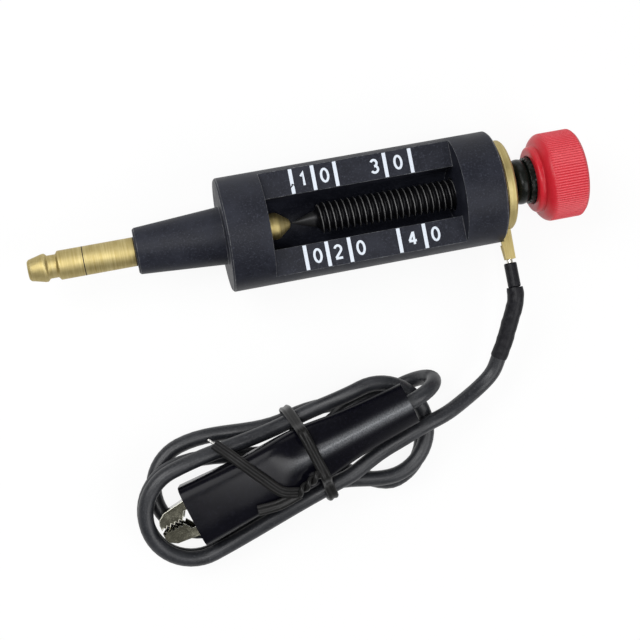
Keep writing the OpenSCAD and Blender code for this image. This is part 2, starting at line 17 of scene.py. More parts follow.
import bmesh
import bpy
import numpy as np
from mathutils import Matrix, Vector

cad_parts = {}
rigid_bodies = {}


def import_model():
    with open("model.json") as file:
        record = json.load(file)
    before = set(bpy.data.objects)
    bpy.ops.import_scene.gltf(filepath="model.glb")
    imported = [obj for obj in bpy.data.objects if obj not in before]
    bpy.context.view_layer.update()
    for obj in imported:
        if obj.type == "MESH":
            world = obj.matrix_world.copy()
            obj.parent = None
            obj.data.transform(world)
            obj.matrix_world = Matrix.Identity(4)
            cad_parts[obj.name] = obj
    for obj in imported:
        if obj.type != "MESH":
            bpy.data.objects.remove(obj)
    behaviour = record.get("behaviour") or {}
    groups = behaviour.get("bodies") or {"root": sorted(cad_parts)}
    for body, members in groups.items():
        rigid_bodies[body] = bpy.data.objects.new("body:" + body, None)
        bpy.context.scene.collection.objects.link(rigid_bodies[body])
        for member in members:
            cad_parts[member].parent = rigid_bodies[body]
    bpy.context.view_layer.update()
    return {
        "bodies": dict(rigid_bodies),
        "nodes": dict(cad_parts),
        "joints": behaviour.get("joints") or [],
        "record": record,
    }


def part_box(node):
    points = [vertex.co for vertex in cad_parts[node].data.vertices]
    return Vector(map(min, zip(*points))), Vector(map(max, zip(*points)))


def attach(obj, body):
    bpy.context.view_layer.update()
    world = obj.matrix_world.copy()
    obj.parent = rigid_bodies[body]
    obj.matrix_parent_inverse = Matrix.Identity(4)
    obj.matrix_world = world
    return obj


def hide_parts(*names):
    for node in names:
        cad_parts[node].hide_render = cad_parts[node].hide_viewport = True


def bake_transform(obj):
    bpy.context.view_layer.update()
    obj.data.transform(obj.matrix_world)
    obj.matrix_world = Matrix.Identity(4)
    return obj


LOG = logging.getLogger("spark_tester")
Array = np.ndarray
Socket = bpy.types.NodeSocket
Point = tuple[float, float, float]
Colour = tuple[float, float, float]

MM = 0.001
TAU = 2 * math.pi
# Clearance of the rubber rings on the screw, and of the knob's seat round its washer
FIT = 0.05
# Radius of the flat on the axis where a turned profile starts and ends
PIP = 0.05
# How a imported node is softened: the distance at which its points are merged, the angle up to which its
# faces are joined, the angle from which an edge is rounded, the faces across a rounding and the crease
WELD = 0.0005
FLAT = 0.5
EDGE_ANGLE = 32
EDGE_STEPS = 3
EDGE_CREASE = 30
# Share of an effect's mask, beside the handling marks, in how rough a surface is
EFFECT_IN_GLOSS = 0.5
# Scale of hairlines against that of a finish's own effect
HAIRLINE_SCALE = 0.4
# Span of an effect's height over which a painted highlight on marked crests fills in, and what is left of it
# in the hollows
HIGHLIGHT_SPAN = (0.3, 0.6)
HIGHLIGHT_LEFT = 0.45


class Body(str, Enum):
    """Moving bodies of the tester."""

    TESTER = "tester"
    RING = "ring_carriage"
    SCREW = "gap_screw"
    JAW = "clip_jaw"


class Slot(str, Enum):
    """Material slots of the record, passed along with new pieces."""

    BARREL = "barrel_plastic"
    BRASS = "brass"
    BLACK_STEEL = "black_steel"
    RED = "red_plastic"
    RUBBER = "ring_rubber"
    SLEEVE = "sleeve_plastic"
    JACKET = "lead_jacket"
    NICKEL = "nickel"
    SPRING = "spring_steel"
    VINYL = "boot_vinyl"
    TIE = "tie_plastic"
    TIE_WIRE = "tie_wire"


def unit(v: Array) -> Array:
    """Vectors along the last axis, each scaled to length 1."""
    return v / np.linalg.norm(v, axis=-1, keepdims=True)


def ease(t: Array) -> Array:
    """A share of the way from 0 to 1 that starts and stops smoothly: half of 1 minus the cosine."""
    return (1 - np.cos(math.pi * t)) / 2


def smoothstep(low: float, high: float, t: Array) -> Array:
    """Smooth step from 0 at low to 1 at high: three times the share's square less twice its cube."""
    s = np.clip((t - low) / (high - low), 0, 1)
    return s * s * (3 - 2 * s)


def bell(t: Array, width: float) -> Array:
    """Bell curve that is 1 at 0 and falls off over a width: e to the minus square."""
    return np.exp(-((t / width) ** 2))


def run_along(path: Array) -> Array:
    """Length along a path up to each of its points: the sum of the steps before it."""
    return np.concatenate([[0], np.cumsum(np.linalg.norm(np.diff(path, axis=0), axis=1))])


def spline(points: Sequence[Sequence[float]], steps: int, closed: bool = False) -> Array:
    """Smooth curve through every point: the cubic whose slope at a point is half the step past it.

    Args:
        points: Points that the curve passes through.
        steps: Samples in each stretch between two points.
        closed: Whether the curve returns to its first point.

    Returns:
        Samples along the curve; an open curve ends exactly on the last point.
    """
    p = np.asarray(points, float)
    if closed:
        before, after, far = np.roll(p, 1, 0), np.roll(p, -1, 0), np.roll(p, -2, 0)
        here = p
    else:
        padded = np.vstack([2 * p[0] - p[1], p, 2 * p[-1] - p[-2]])
        before, here, after, far = padded[:-3], padded[1:-2], padded[2:-1], padded[3:]
    t = np.linspace(0, 1, steps, endpoint=False)[None, :, None]
    b, h, a, f = (q[:, None, :] for q in (before, here, after, far))
    square, cube = 2 * b - 5 * h + 4 * a - f, 3 * h - b - 3 * a + f
    curve = 0.5 * (2 * h + (a - b) * t + square * t**2 + cube * t**3)
    curve = curve.reshape(-1, p.shape[1])
    return curve if closed else np.vstack([curve, p[-1]])


def rounded(corners: Sequence[Point], steps: int) -> Array:
    """Outline through corners, each given as x, y and how far its rounding reaches along both sides.

    A rounding is the quadratic curve that leaves one side and joins the other tangentially.

    Args:
        corners: Corner points with their reach.
        steps: Samples on each rounding.

    Returns:
        Points of the open outline.
    """
    c = np.asarray(corners, float)
    points = [c[:1, :2]]
    t = np.linspace(0, 1, steps)[:, None]
    for last, here, after in zip(c[:-2], c[1:-1], c[2:]):
        if here[2] == 0:
            points.append(here[None, :2])
            continue
        start = here[:2] + here[2] * unit(last[:2] - here[:2])
        end = here[:2] + here[2] * unit(after[:2] - here[:2])
        points.append((1 - t) ** 2 * start + 2 * t * (1 - t) * here[:2] + t**2 * end)
    points.append(c[-1:, :2])
    return np.vstack(points)


def round_angles(sides: int) -> Array:
    """Even angles round a circle, from 0 up to a full turn."""
    return TAU * np.arange(sides) / sides


def circle_section(radius: float, sides: int) -> Array:
    """Points of a circle: radius times cosine along the first axis and times sine along the second."""
    a = round_angles(sides)
    return radius * np.stack([np.cos(a), np.sin(a)], -1)


def path_frames(path: Array, up: Array, closed: bool = False) -> tuple[Array, Array]:
    """Side and lift directions along a path: side is square to the path and to up, lift square to both.

    Args:
        path: Points of the path.
        up: Direction that lift leans towards, one for all points or one each.
        closed: Whether the path returns to its first point.

    Returns:
        The side and the lift directions.
    """
    if closed:
        way = np.roll(path, -1, 0) - np.roll(path, 1, 0)
    else:
        way = np.gradient(path, axis=0)
    way = unit(way)
    side = unit(np.cross(way, np.broadcast_to(up, path.shape)))
    return side, np.cross(side, way)


def swept(
    path: Array, section: Array, up: Sequence[float] | Array = (0, 0, 1), closed: bool = False
) -> Array:
    """Grid of a section carried along a path, its first part along side and its second along lift.

    Args:
        path: Points of the path.
        section: One section of points, or a section for each point of the path.
        up: Direction that the section's second axis leans towards.
        closed: Whether the path returns to its first point.

    Returns:
        Grid of points, path by section.
    """
    side, lift = path_frames(path, np.asarray(up, float), closed)
    s = np.broadcast_to(section, (len(path), *section.shape[-2:]))
    return path[:, None] + s[..., :1] * side[:, None] + s[..., 1:] * lift[:, None]


def about_axis(x: Array, r: Array, axis_z: float, sides: int) -> Array:
    """Grid about the barrel's axis, along X at a height: radius times cosine in Y and times sine in Z.

    Args:
        x: Station of each row.
        r: Radius of each row, or of each point in it.
        axis_z: Height of the axis.
        sides: Points round the axis.

    Returns:
        Grid of points, station by angle.
    """
    a = round_angles(sides)
    return np.stack([x + 0 * a, r * np.cos(a), axis_z + r * np.sin(a)], -1)


def turned(profile: Array, axis_z: float, sides: int) -> Array:
    """Grid of a profile of radius and station turned about the barrel's axis."""
    return about_axis(profile[:, 1:], profile[:, :1], axis_z, sides)


class MeshMaker:
    """Collects grids of points, in millimetres, and puts them into one mesh."""

    def __init__(self) -> None:
        """Start with no points, faces or values."""
        self.points: list[Array] = []
        self.faces: list[Array] = []
        self.values: list[Array] = []
        self.count = 0

    def _take(self, points: Array, values: Array | None) -> int:
        """Keep points with a value each.

        Args:
            points: Points to keep.
            values: Their values, or none for zeros.

        Returns:
            The index of the first one.
        """
        first = self.count
        self.points.append(points)
        self.values.append(np.zeros(len(points)) if values is None else values.reshape(-1))
        self.count += len(points)
        return first

    def grid(self, points: Array, loop: bool = False, values: Array | None = None) -> MeshMaker:
        """Add a surface from a grid whose columns close on themselves.

        Args:
            points: Grid of points, rows by columns.
            loop: Whether the last row joins the first; otherwise both end rows are closed by fans.
            values: A value for each point, kept as the mesh's "mark" attribute.

        Returns:
            This maker, for the next call.
        """
        rows, cols = points.shape[:2]
        first = self._take(points.reshape(-1, 3), values)
        i, k = np.meshgrid(np.arange(rows if loop else rows - 1), np.arange(cols), indexing="ij")
        j, m = (i + 1) % rows, (k + 1) % cols
        quads = np.stack([i * cols + k, j * cols + k, j * cols + m, i * cols + m], -1).reshape(-1, 4)
        made = [quads + first]
        if not loop:
            k = np.arange(cols)
            for row, turn in ((0, 1), (rows - 1, -1)):
                mark = None if values is None else values[row].mean(keepdims=True)
                middle = self._take(points[row].mean(0, keepdims=True), mark)
                ring = first + row * cols + np.stack([k, (k + 1) % cols], -1)[:, ::turn]
                made.append(np.hstack([np.full((cols, 1), middle), ring]))
        self.faces.extend(self._outward(made))
        return self

    def _outward(self, faces: list[Array]) -> list[Array]:
        """Turn a closed set of faces so that its volume, summed over its triangles, is positive.

        Args:
            faces: Blocks of faces, each of faces with the same number of corners.

        Returns:
            The blocks, all turned round or all as they were.
        """
        points = np.vstack(self.points)
        volume = 0.0
        for block in faces:
            for n in range(1, block.shape[1] - 1):
                a, b, c = points[block[:, 0]], points[block[:, n]], points[block[:, n + 1]]
                volume += np.einsum("ij,ij->", a, np.cross(b, c))
        return faces if volume > 0 else [block[:, ::-1] for block in faces]

    def plate(self, outline: Array, low: float, high: float) -> MeshMaker:
        """Add a flat plate with the outline's points in X and Y, between two heights."""
        rings = np.stack([np.column_stack([outline, np.full(len(outline), z)]) for z in (low, high)])
        return self.grid(rings)

    def build(self, name: str, crease: float = 40) -> bpy.types.Object:
        """Put the grids into a mesh object in metres, smooth apart from edges sharper than crease degrees.

        Args:
            name: Name of the object.
            crease: Edge angle, in degrees, from which shading breaks.

        Returns:
            The object, at the origin.
        """
        mesh = bpy.data.meshes.new(name)
        points = np.vstack(self.points) * MM
        sizes = np.concatenate([np.full(len(block), block.shape[1]) for block in self.faces])
        corners = np.concatenate([block.reshape(-1) for block in self.faces])
        mesh.vertices.add(len(points))
        mesh.vertices.foreach_set("co", points.reshape(-1))
        mesh.loops.add(len(corners))
        mesh.loops.foreach_set("vertex_index", corners)
        mesh.polygons.add(len(sizes))
        mesh.polygons.foreach_set("loop_start", np.cumsum(sizes) - sizes)
        mesh.update(calc_edges=True)
        mesh.validate()
        mark = mesh.attributes.new("mark", "FLOAT", "POINT")
        mark.data.foreach_set("value", np.concatenate(self.values).astype(np.float32))
        return show(mesh, name, crease)


def show(mesh: bpy.types.Mesh, name: str, crease: float) -> bpy.types.Object:
    """Link a mesh as an object, smooth apart from its sharp edges.

    Args:
        mesh: The mesh.
        name: Name of the object.
        crease: Edge angle, in degrees, from which shading breaks.

    Returns:
        The object, at the origin.
    """
    mesh.polygons.foreach_set("use_smooth", np.ones(len(mesh.polygons), bool))
    mesh.set_sharp_from_angle(angle=math.radians(crease))
    made = bpy.data.objects.new(name, mesh)
    bpy.context.scene.collection.objects.link(made)
    return made


def softened(node: str, name: str, width: float, edge_slot: int = -1) -> bpy.types.Object:
    """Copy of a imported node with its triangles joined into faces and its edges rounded.

    Args:
        node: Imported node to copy.
        name: Name of the copy.
        width: Width of the rounding, in millimetres.
        edge_slot: Material slot of the rounding, or -1 for that of the faces beside it.

    Returns:
        The copy, with a live bevel.
    """
    shape = bmesh.new()
    shape.from_mesh(bpy.data.objects[node].data)
    bmesh.ops.remove_doubles(shape, verts=shape.verts, dist=WELD * MM)
    bmesh.ops.dissolve_limit(shape, angle_limit=math.radians(FLAT), verts=shape.verts, edges=shape.edges)
    mesh = bpy.data.meshes.new(name)
    shape.to_mesh(mesh)
    shape.free()
    mesh.materials.clear()
    made = show(mesh, name, EDGE_CREASE)
    bevel = made.modifiers.new("edges", "BEVEL")
    bevel.width = width * MM
    bevel.segments = EDGE_STEPS
    bevel.limit_method = "ANGLE"
    bevel.angle_limit = math.radians(EDGE_ANGLE)
    bevel.harden_normals = True
    bevel.material = edge_slot
    return made


class Nodes:
    """Adds shader nodes to a tree."""

    def __init__(self, tree: bpy.types.NodeTree) -> None:
        """Work on one tree."""
        self.tree = tree

    def _feed(self, socket: Socket, value: Any) -> None:
        """Link an input from another socket, or give it a plain value.

        Args:
            socket: The input.
            value: Socket to link from, or the value.
        """
        if isinstance(value, bpy.types.NodeSocket):
            self.tree.links.new(value, socket)
        else:
            socket.default_value = value

    def put(self, kind: str, inputs: dict[str | int, Any] | None = None, **settings: Any) -> bpy.types.Node:
        """Add a node.

        Args:
            kind: Node type.
            inputs: Value, or socket to link from, for each named or numbered input.
            settings: Properties of the node.

        Returns:
            The node.
        """
        node = self.tree.nodes.new(kind)
        for key, value in settings.items():
            setattr(node, key, value)
        for key, value in (inputs or {}).items():
            self._feed(node.inputs[key], value)
        return node

    def scaled(self, vector: Socket, by: Point) -> Socket:
        """A vector with each of its parts multiplied."""
        return self.put("ShaderNodeVectorMath", {0: vector, 1: by}, operation="MULTIPLY").outputs[0]

    def noise(self, vector: Socket, scale: float | Socket, detail: float, roughness: float = 0.5) -> Socket:
        """Value of a noise texture."""
        inputs = {"Vector": vector, "Scale": scale, "Detail": detail, "Roughness": roughness}
        return self.put("ShaderNodeTexNoise", inputs).outputs["Fac"]

    def ramp(self, value: Socket, low: float, high: float, start: float = 0, end: float = 1) -> Socket:
        """A value mapped from one span to another, held at the ends."""
        inputs = {"Value": value, "From Min": low, "From Max": high, "To Min": start, "To Max": end}
        return self.put("ShaderNodeMapRange", inputs, clamp=True).outputs["Result"]

    def maths(self, operation: str, a: Socket | float, b: Socket | float) -> Socket:
        """Two values put together by an operation."""
        return self.put("ShaderNodeMath", {0: a, 1: b}, operation=operation).outputs[0]

    def mix(self, share: Socket | float, a: Socket | Sequence[float], b: Socket | Sequence[float]) -> Socket:
        """Two colours mixed by a share.

        Args:
            share: Share of the second colour.
            a: First colour.
            b: Second colour.

        Returns:
            The mixed colour.
        """
        node = self.put("ShaderNodeMix", data_type="RGBA")
        for key, value in (("Factor_Float", share), ("A_Color", a), ("B_Color", b)):
            self._feed(next(s for s in node.inputs if s.identifier == key), value)
        return next(s for s in node.outputs if s.identifier == "Result_Color")


class Effect(str, Enum):
    """Surface effects that several finishes share, each one a node group."""

    GRAIN = "moulded_grain"
    TURNED = "turning_lines"
    MARKS = "handling_marks"
    HAIRLINES = "hairline_scratches"


Maker = Callable[[Nodes, Socket, Socket], tuple[Socket, Socket]]


class EffectLibrary:
    """Builds each shared effect once and places it in materials."""

    relief_fineness = 2.3
    turning_stretch = (1, 0.04, 0.04)
    hairline_turns = (0.5, -0.9)
    hairline_lean = (0.3, 0.2)
    hairline_stretch = (0.09, 1.0, 0.8)
    hairline_width = 0.012

    def __init__(self) -> None:
        """Build every group."""
        makers = {
            Effect.GRAIN: self._grain,
            Effect.TURNED: self._turned,
            Effect.MARKS: self._marks,
            Effect.HAIRLINES: self._hairlines,
        }
        self.groups = {effect: self._group(effect, maker) for effect, maker in makers.items()}

    @staticmethod
    def _group(effect: Effect, maker: Maker) -> bpy.types.NodeTree:
        """Make a group with a vector and a scale going in, and a mask and a height coming out.

        Args:
            effect: The effect that the group is named after.
            maker: Method that returns the mask and the height.

        Returns:
            The group.
        """
        tree = bpy.data.node_groups.new(effect.value, "ShaderNodeTree")
        tree.interface.new_socket("Vector", in_out="INPUT", socket_type="NodeSocketVector")
        tree.interface.new_socket("Scale", in_out="INPUT", socket_type="NodeSocketFloat")
        tree.interface.new_socket("Mask", in_out="OUTPUT", socket_type="NodeSocketFloat")
        tree.interface.new_socket("Height", in_out="OUTPUT", socket_type="NodeSocketFloat")
        nodes = Nodes(tree)
        source = nodes.put("NodeGroupInput")
        mask, height = maker(nodes, source.outputs["Vector"], source.outputs["Scale"])
        nodes.put("NodeGroupOutput", {"Mask": mask, "Height": height})
        return tree

    def _grain(self, nodes: Nodes, vector: Socket, scale: Socket) -> tuple[Socket, Socket]:
        """Specks where a fine noise peaks, over a finer height.

        Args:
            nodes: The group's nodes.
            vector: Where on the piece, in millimetres.
            scale: Features per millimetre.

        Returns:
            The mask and the height.
        """
        fine = nodes.maths("MULTIPLY", scale, self.relief_fineness)
        specks = nodes.noise(vector, scale, detail=3, roughness=0.65)
        return nodes.ramp(specks, low=0.52, high=0.74), nodes.noise(vector, fine, detail=2, roughness=0.6)

    def _turned(self, nodes: Nodes, vector: Socket, scale: Socket) -> tuple[Socket, Socket]:
        """Bands that change quickly along the axis and slowly round it.

        Args:
            nodes: The group's nodes.
            vector: Where on the piece, in millimetres.
            scale: Features per millimetre.

        Returns:
            The mask and the height.
        """
        along = nodes.scaled(vector, self.turning_stretch)
        bands = nodes.noise(along, scale, detail=4, roughness=0.7)
        return nodes.ramp(bands, low=0.35, high=0.68), bands

    def _marks(self, nodes: Nodes, vector: Socket, scale: Socket) -> tuple[Socket, Socket]:
        """Soft patches left by handling, broken up by a finer noise.

        Args:
            nodes: The group's nodes.
            vector: Where on the piece, in millimetres.
            scale: Features per millimetre.

        Returns:
            The mask and the height.
        """
        patch = nodes.noise(vector, scale, detail=5, roughness=0.62)
        return nodes.ramp(patch, low=0.45, high=0.7), patch

    def _hairlines(self, nodes: Nodes, vector: Socket, scale: Socket) -> tuple[Socket, Socket]:
        """Thin lines in two directions, where a noise drawn out along each passes its middle value.

        Args:
            nodes: The group's nodes.
            vector: Where on the piece, in millimetres.
            scale: Features per millimetre.

        Returns:
            The mask and the height.
        """
        lines = []
        for turn in self.hairline_turns:
            rotation = (*self.hairline_lean, turn)
            inputs = {"Vector": vector, "Rotation": rotation, "Scale": self.hairline_stretch}
            drawn = nodes.put("ShaderNodeMapping", inputs).outputs[0]
            past = nodes.maths("SUBTRACT", nodes.noise(drawn, scale, detail=1), 0.5)
            off = nodes.maths("ABSOLUTE", past, 0)
            lines.append(nodes.ramp(off, 0.0, self.hairline_width, 1, 0))
        mask = nodes.maths("MAXIMUM", *lines)
        return mask, mask

    def place(self, nodes: Nodes, effect: Effect, vector: Socket, scale: float) -> tuple[Socket, Socket]:
        """Put an effect into a material.

        Args:
            nodes: The material's nodes.
            effect: The effect.
            vector: Where on the piece, in millimetres.
            scale: Features per millimetre.

        Returns:
            The mask and the height.
        """
        inputs = {"Vector": vector, "Scale": scale}
        group = nodes.put("ShaderNodeGroup", inputs, node_tree=self.groups[effect])
        return group.outputs["Mask"], group.outputs["Height"]


def rgba(colour: Colour) -> tuple[float, float, float, float]:
    """A colour with full opacity."""
    return (*colour, 1.0)


@dataclass(frozen=True)
class Finish:
    """A surface: a colour with a second one in its marks, its gloss, and one shared effect for its relief.

    Scales are features per millimetre, and relief is the depth of the bump in millimetres. The highlight
    colour covers the points whose mark in the mesh is 1, as a painted highlight.
    """

    name: str
    colour: Colour
    second: Colour
    roughness: tuple[float, float]
    relief: float
    effect: Effect
    scale: float
    metallic: float = 0.0
    specular: float = 0.5
    mark_scale: float = 0.12
    mark_share: float = 0.35
    scratches: float = 0.0
    # Colour of a painted highlight over the points marked in the mesh
    highlight_colour: Colour | None = None

    def material(self, library: EffectLibrary) -> bpy.types.Material:
        """Build the material.

        Args:
            library: The shared effects.

        Returns:
            The material.
        """
        made = bpy.data.materials.new(self.name)
        made.use_nodes = True
        tree = made.node_tree
        tree.nodes.clear()
        nodes = Nodes(tree)
        place = nodes.put("ShaderNodeTexCoord").outputs["Object"]
        vector = nodes.scaled(place, (1 / MM, 1 / MM, 1 / MM))
        mask, height = library.place(nodes, self.effect, vector, self.scale)
        marks, _ = library.place(nodes, Effect.MARKS, vector, self.mark_scale)
        tint = nodes.maths("MULTIPLY", marks, self.mark_share)
        colour = nodes.mix(nodes.maths("MAXIMUM", mask, tint), rgba(self.colour), rgba(self.second))
        dull = nodes.maths("ADD", nodes.maths("MULTIPLY", mask, EFFECT_IN_GLOSS), marks)
        if self.scratches:
            lines, _ = library.place(nodes, Effect.HAIRLINES, vector, self.scale * HAIRLINE_SCALE)
            share = nodes.maths("MULTIPLY", nodes.maths("MULTIPLY", lines, marks), self.scratches)
            colour = nodes.mix(share, colour, rgba(self.second))
        # Painted highlight: the marked crests take the highlight colour, broken up by the effect's height
        if self.highlight_colour:
            highlit = nodes.put("ShaderNodeAttribute", attribute_name="mark").outputs["Fac"]
            broken = nodes.maths("MULTIPLY", highlit, nodes.ramp(height, *HIGHLIGHT_SPAN, HIGHLIGHT_LEFT, 1))
            colour = nodes.mix(broken, colour, rgba(self.highlight_colour))
        bump = nodes.put("ShaderNodeBump", {"Strength": 1.0, "Distance": self.relief * MM, "Height": height})
        surface = {
            "Base Color": colour,
            "Roughness": nodes.ramp(dull, 0, 1 + EFFECT_IN_GLOSS, *self.roughness),
            "Metallic": self.metallic,
            "Specular IOR Level": self.specular,
            "Normal": bump.outputs["Normal"],
        }
        shader = nodes.put("ShaderNodeBsdfPrincipled", surface)
        nodes.put("ShaderNodeOutputMaterial", {"Surface": shader.outputs[0]})
        return made


class Finishes:
    """Every finish of the tester, each built once."""

    BARREL = Finish("charcoal_moulding", (0.009, 0.010, 0.016), (0.034, 0.037, 0.052), (0.46, 0.64), 0.014,
                    Effect.GRAIN, 2.6, specular=0.18, mark_scale=0.16, mark_share=0.4, scratches=0.4)
    # Painted highlight on the barrel's rounded edges: light grey broken up by grain and handling marks
    EDGE_HIGHLIGHT = Finish("painted_moulding_edge_highlight", (0.022, 0.024, 0.03), (0.16, 0.165, 0.175), (0.4, 0.6), 0.012,
                       Effect.GRAIN, 1.3, specular=0.35, mark_scale=0.5, mark_share=0.6)
    # Painted shade: dark brown for the seams where shade falls
    SEAM_SHADE = Finish("painted_seam_shade", (0.03, 0.022, 0.012), (0.06, 0.045, 0.025), (0.6, 0.8), 0.01,
                   Effect.GRAIN, 2, specular=0.2)
    BRASS = Finish("turned_brass", (0.385, 0.3, 0.11), (0.55, 0.465, 0.235), (0.5, 0.64), 0.006,
                   Effect.TURNED, 2.6, metallic=1.0, mark_scale=0.3, mark_share=0.65, scratches=0.5)
    # Painted highlight: the light grey third colour on the screw's marked thread crests and, faintly, its
    # needle
    SCREW = Finish("blackened_steel", (0.004, 0.004, 0.005), (0.012, 0.012, 0.013), (0.32, 0.5), 0.004,
                   Effect.GRAIN, 4, metallic=0.3, specular=0.15, highlight_colour=(0.24, 0.24, 0.24))
    # Painted highlight: the lighter red on the knob's marked rib crests
    RED = Finish("red_moulding", (0.46, 0.010, 0.020), (0.54, 0.028, 0.042), (0.3, 0.48), 0.005,
                 Effect.GRAIN, 2.2, specular=0.28, mark_share=0.3, highlight_colour=(0.7, 0.1, 0.12))
    RUBBER = Finish("ring_rubber", (0.004, 0.005, 0.004), (0.010, 0.014, 0.012), (0.25, 0.45), 0.006,
                    Effect.GRAIN, 2.5, specular=0.16)
    TINNED = Finish("bright_strands", (0.7, 0.66, 0.58), (0.82, 0.8, 0.76), (0.25, 0.4), 0.02,
                    Effect.TURNED, 1.2, metallic=1.0)
    SHRINK = Finish("shrunk_sleeve", (0.007, 0.007, 0.009), (0.018, 0.018, 0.021), (0.38, 0.58), 0.02,
                    Effect.MARKS, 1.1, specular=0.16, mark_share=0.4)
    JACKET = Finish("lead_jacket", (0.012, 0.013, 0.016), (0.042, 0.044, 0.05), (0.38, 0.52), 0.008,
                    Effect.GRAIN, 2.4, specular=0.42, mark_scale=0.2, mark_share=0.45)
    NICKEL = Finish("nickel_plate", (0.15, 0.145, 0.11), (0.23, 0.225, 0.18), (0.12, 0.24), 0.002,
                    Effect.MARKS, 0.2, metallic=1.0, mark_scale=0.5, scratches=0.35)
    # Painted highlight on the jaws' rounded edges: a pale, half-metallic plate
    PLATE_EDGE_HIGHLIGHT = Finish("painted_plate_edge_highlight", (0.6, 0.59, 0.5), (0.8, 0.78, 0.69), (0.3, 0.45), 0.002,
                         Effect.TURNED, 1.2, metallic=0.55, mark_scale=0.6)
    SPRING = Finish("spring_wire", (0.42, 0.41, 0.39), (0.6, 0.58, 0.54), (0.25, 0.4), 0.004,
                    Effect.TURNED, 2, metallic=1.0)
    # Painted highlight: the grey on the boot's marked ridge crest
    VINYL = Finish("boot_vinyl", (0.0022, 0.0022, 0.0042), (0.005, 0.005, 0.009), (0.2, 0.3), 0.003,
                   Effect.GRAIN, 1.4, specular=0.1, mark_scale=0.15, mark_share=0.25,
                   highlight_colour=(0.15, 0.155, 0.165))
    TIE = Finish("tie_plastic", (0.006, 0.006, 0.006), (0.018, 0.017, 0.017), (0.32, 0.48), 0.006,
                 Effect.GRAIN, 2.5, specular=0.18)
    WIRE = Finish("cut_wire", (0.6, 0.59, 0.57), (0.75, 0.74, 0.72), (0.2, 0.35), 0.004,
                  Effect.TURNED, 2, metallic=1.0)
    PRINT = Finish("white_print", (0.62, 0.67, 0.74), (0.44, 0.48, 0.54), (0.45, 0.6), 0.006,
                   Effect.GRAIN, 3, mark_share=0.2)

    def __init__(self) -> None:
        """Start with the shared effects and no material."""
        self.library = EffectLibrary()
        self.made: dict[str, bpy.types.Material] = {}

    def __getitem__(self, finish: Finish) -> bpy.types.Material:
        """The material of a finish, built when first asked for.

        Args:
            finish: The finish.

        Returns:
            The material.
        """
        if finish.name not in self.made:
            self.made[finish.name] = finish.material(self.library)
        return self.made[finish.name]


class Bench:
    """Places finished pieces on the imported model."""

    def __init__(self, frame: dict[str, Any]) -> None:
        """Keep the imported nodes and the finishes.
        """
        self.nodes: dict[str, bpy.types.Object] = frame["nodes"]
        self.finishes = Finishes()

    def dress(self, node: str, finish: Finish) -> None:
        """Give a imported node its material.

        Args:
            node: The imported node.
            finish: Its finish.
        """
        materials = self.nodes[node].data.materials
        materials.clear()
        materials.append(self.finishes[finish])
        LOG.info("%s dressed in %s", node, finish.name)

    def seat(
        self, piece: bpy.types.Object, body: Body, slot: Slot, finish: Finish, *nodes: str
    ) -> bpy.types.Object:
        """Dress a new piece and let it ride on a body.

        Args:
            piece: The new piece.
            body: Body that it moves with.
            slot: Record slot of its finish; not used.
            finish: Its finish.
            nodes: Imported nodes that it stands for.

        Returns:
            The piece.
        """
        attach(piece, body.value)
        LOG.info("%s rides on %s, %d faces", piece.name, body.value, len(piece.data.polygons))
        return self._finished(piece, finish, nodes)

    def bend(
        self, piece: bpy.types.Object, way: Array, slot: Slot, finish: Finish, *nodes: str
    ) -> bpy.types.Object:
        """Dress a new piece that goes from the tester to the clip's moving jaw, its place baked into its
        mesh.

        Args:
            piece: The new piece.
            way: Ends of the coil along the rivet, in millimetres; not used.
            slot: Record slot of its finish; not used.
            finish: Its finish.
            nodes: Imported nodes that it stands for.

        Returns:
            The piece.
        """
        way[0] * MM
        way[1] * MM
        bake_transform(piece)
        LOG.info("%s bends with the jaw, %d faces", piece.name, len(piece.data.polygons))
        return self._finished(piece, finish, nodes)

    def _finished(
        self, piece: bpy.types.Object, finish: Finish, nodes: Sequence[str]
    ) -> bpy.types.Object:
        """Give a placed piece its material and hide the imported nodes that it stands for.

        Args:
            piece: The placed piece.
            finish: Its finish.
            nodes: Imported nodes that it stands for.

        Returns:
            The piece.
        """
        piece.data.materials.append(self.finishes[finish])
        if nodes:
            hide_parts(*nodes)
        return piece

    @staticmethod
    def span(node: str) -> tuple[float, float, float, float]:
        """Start and end along X, radius and axis height of a turned node, in millimetres."""
        low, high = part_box(node)
        return low.x / MM, high.x / MM, (high.y - low.y) / 2 / MM, (low.z + high.z) / 2 / MM


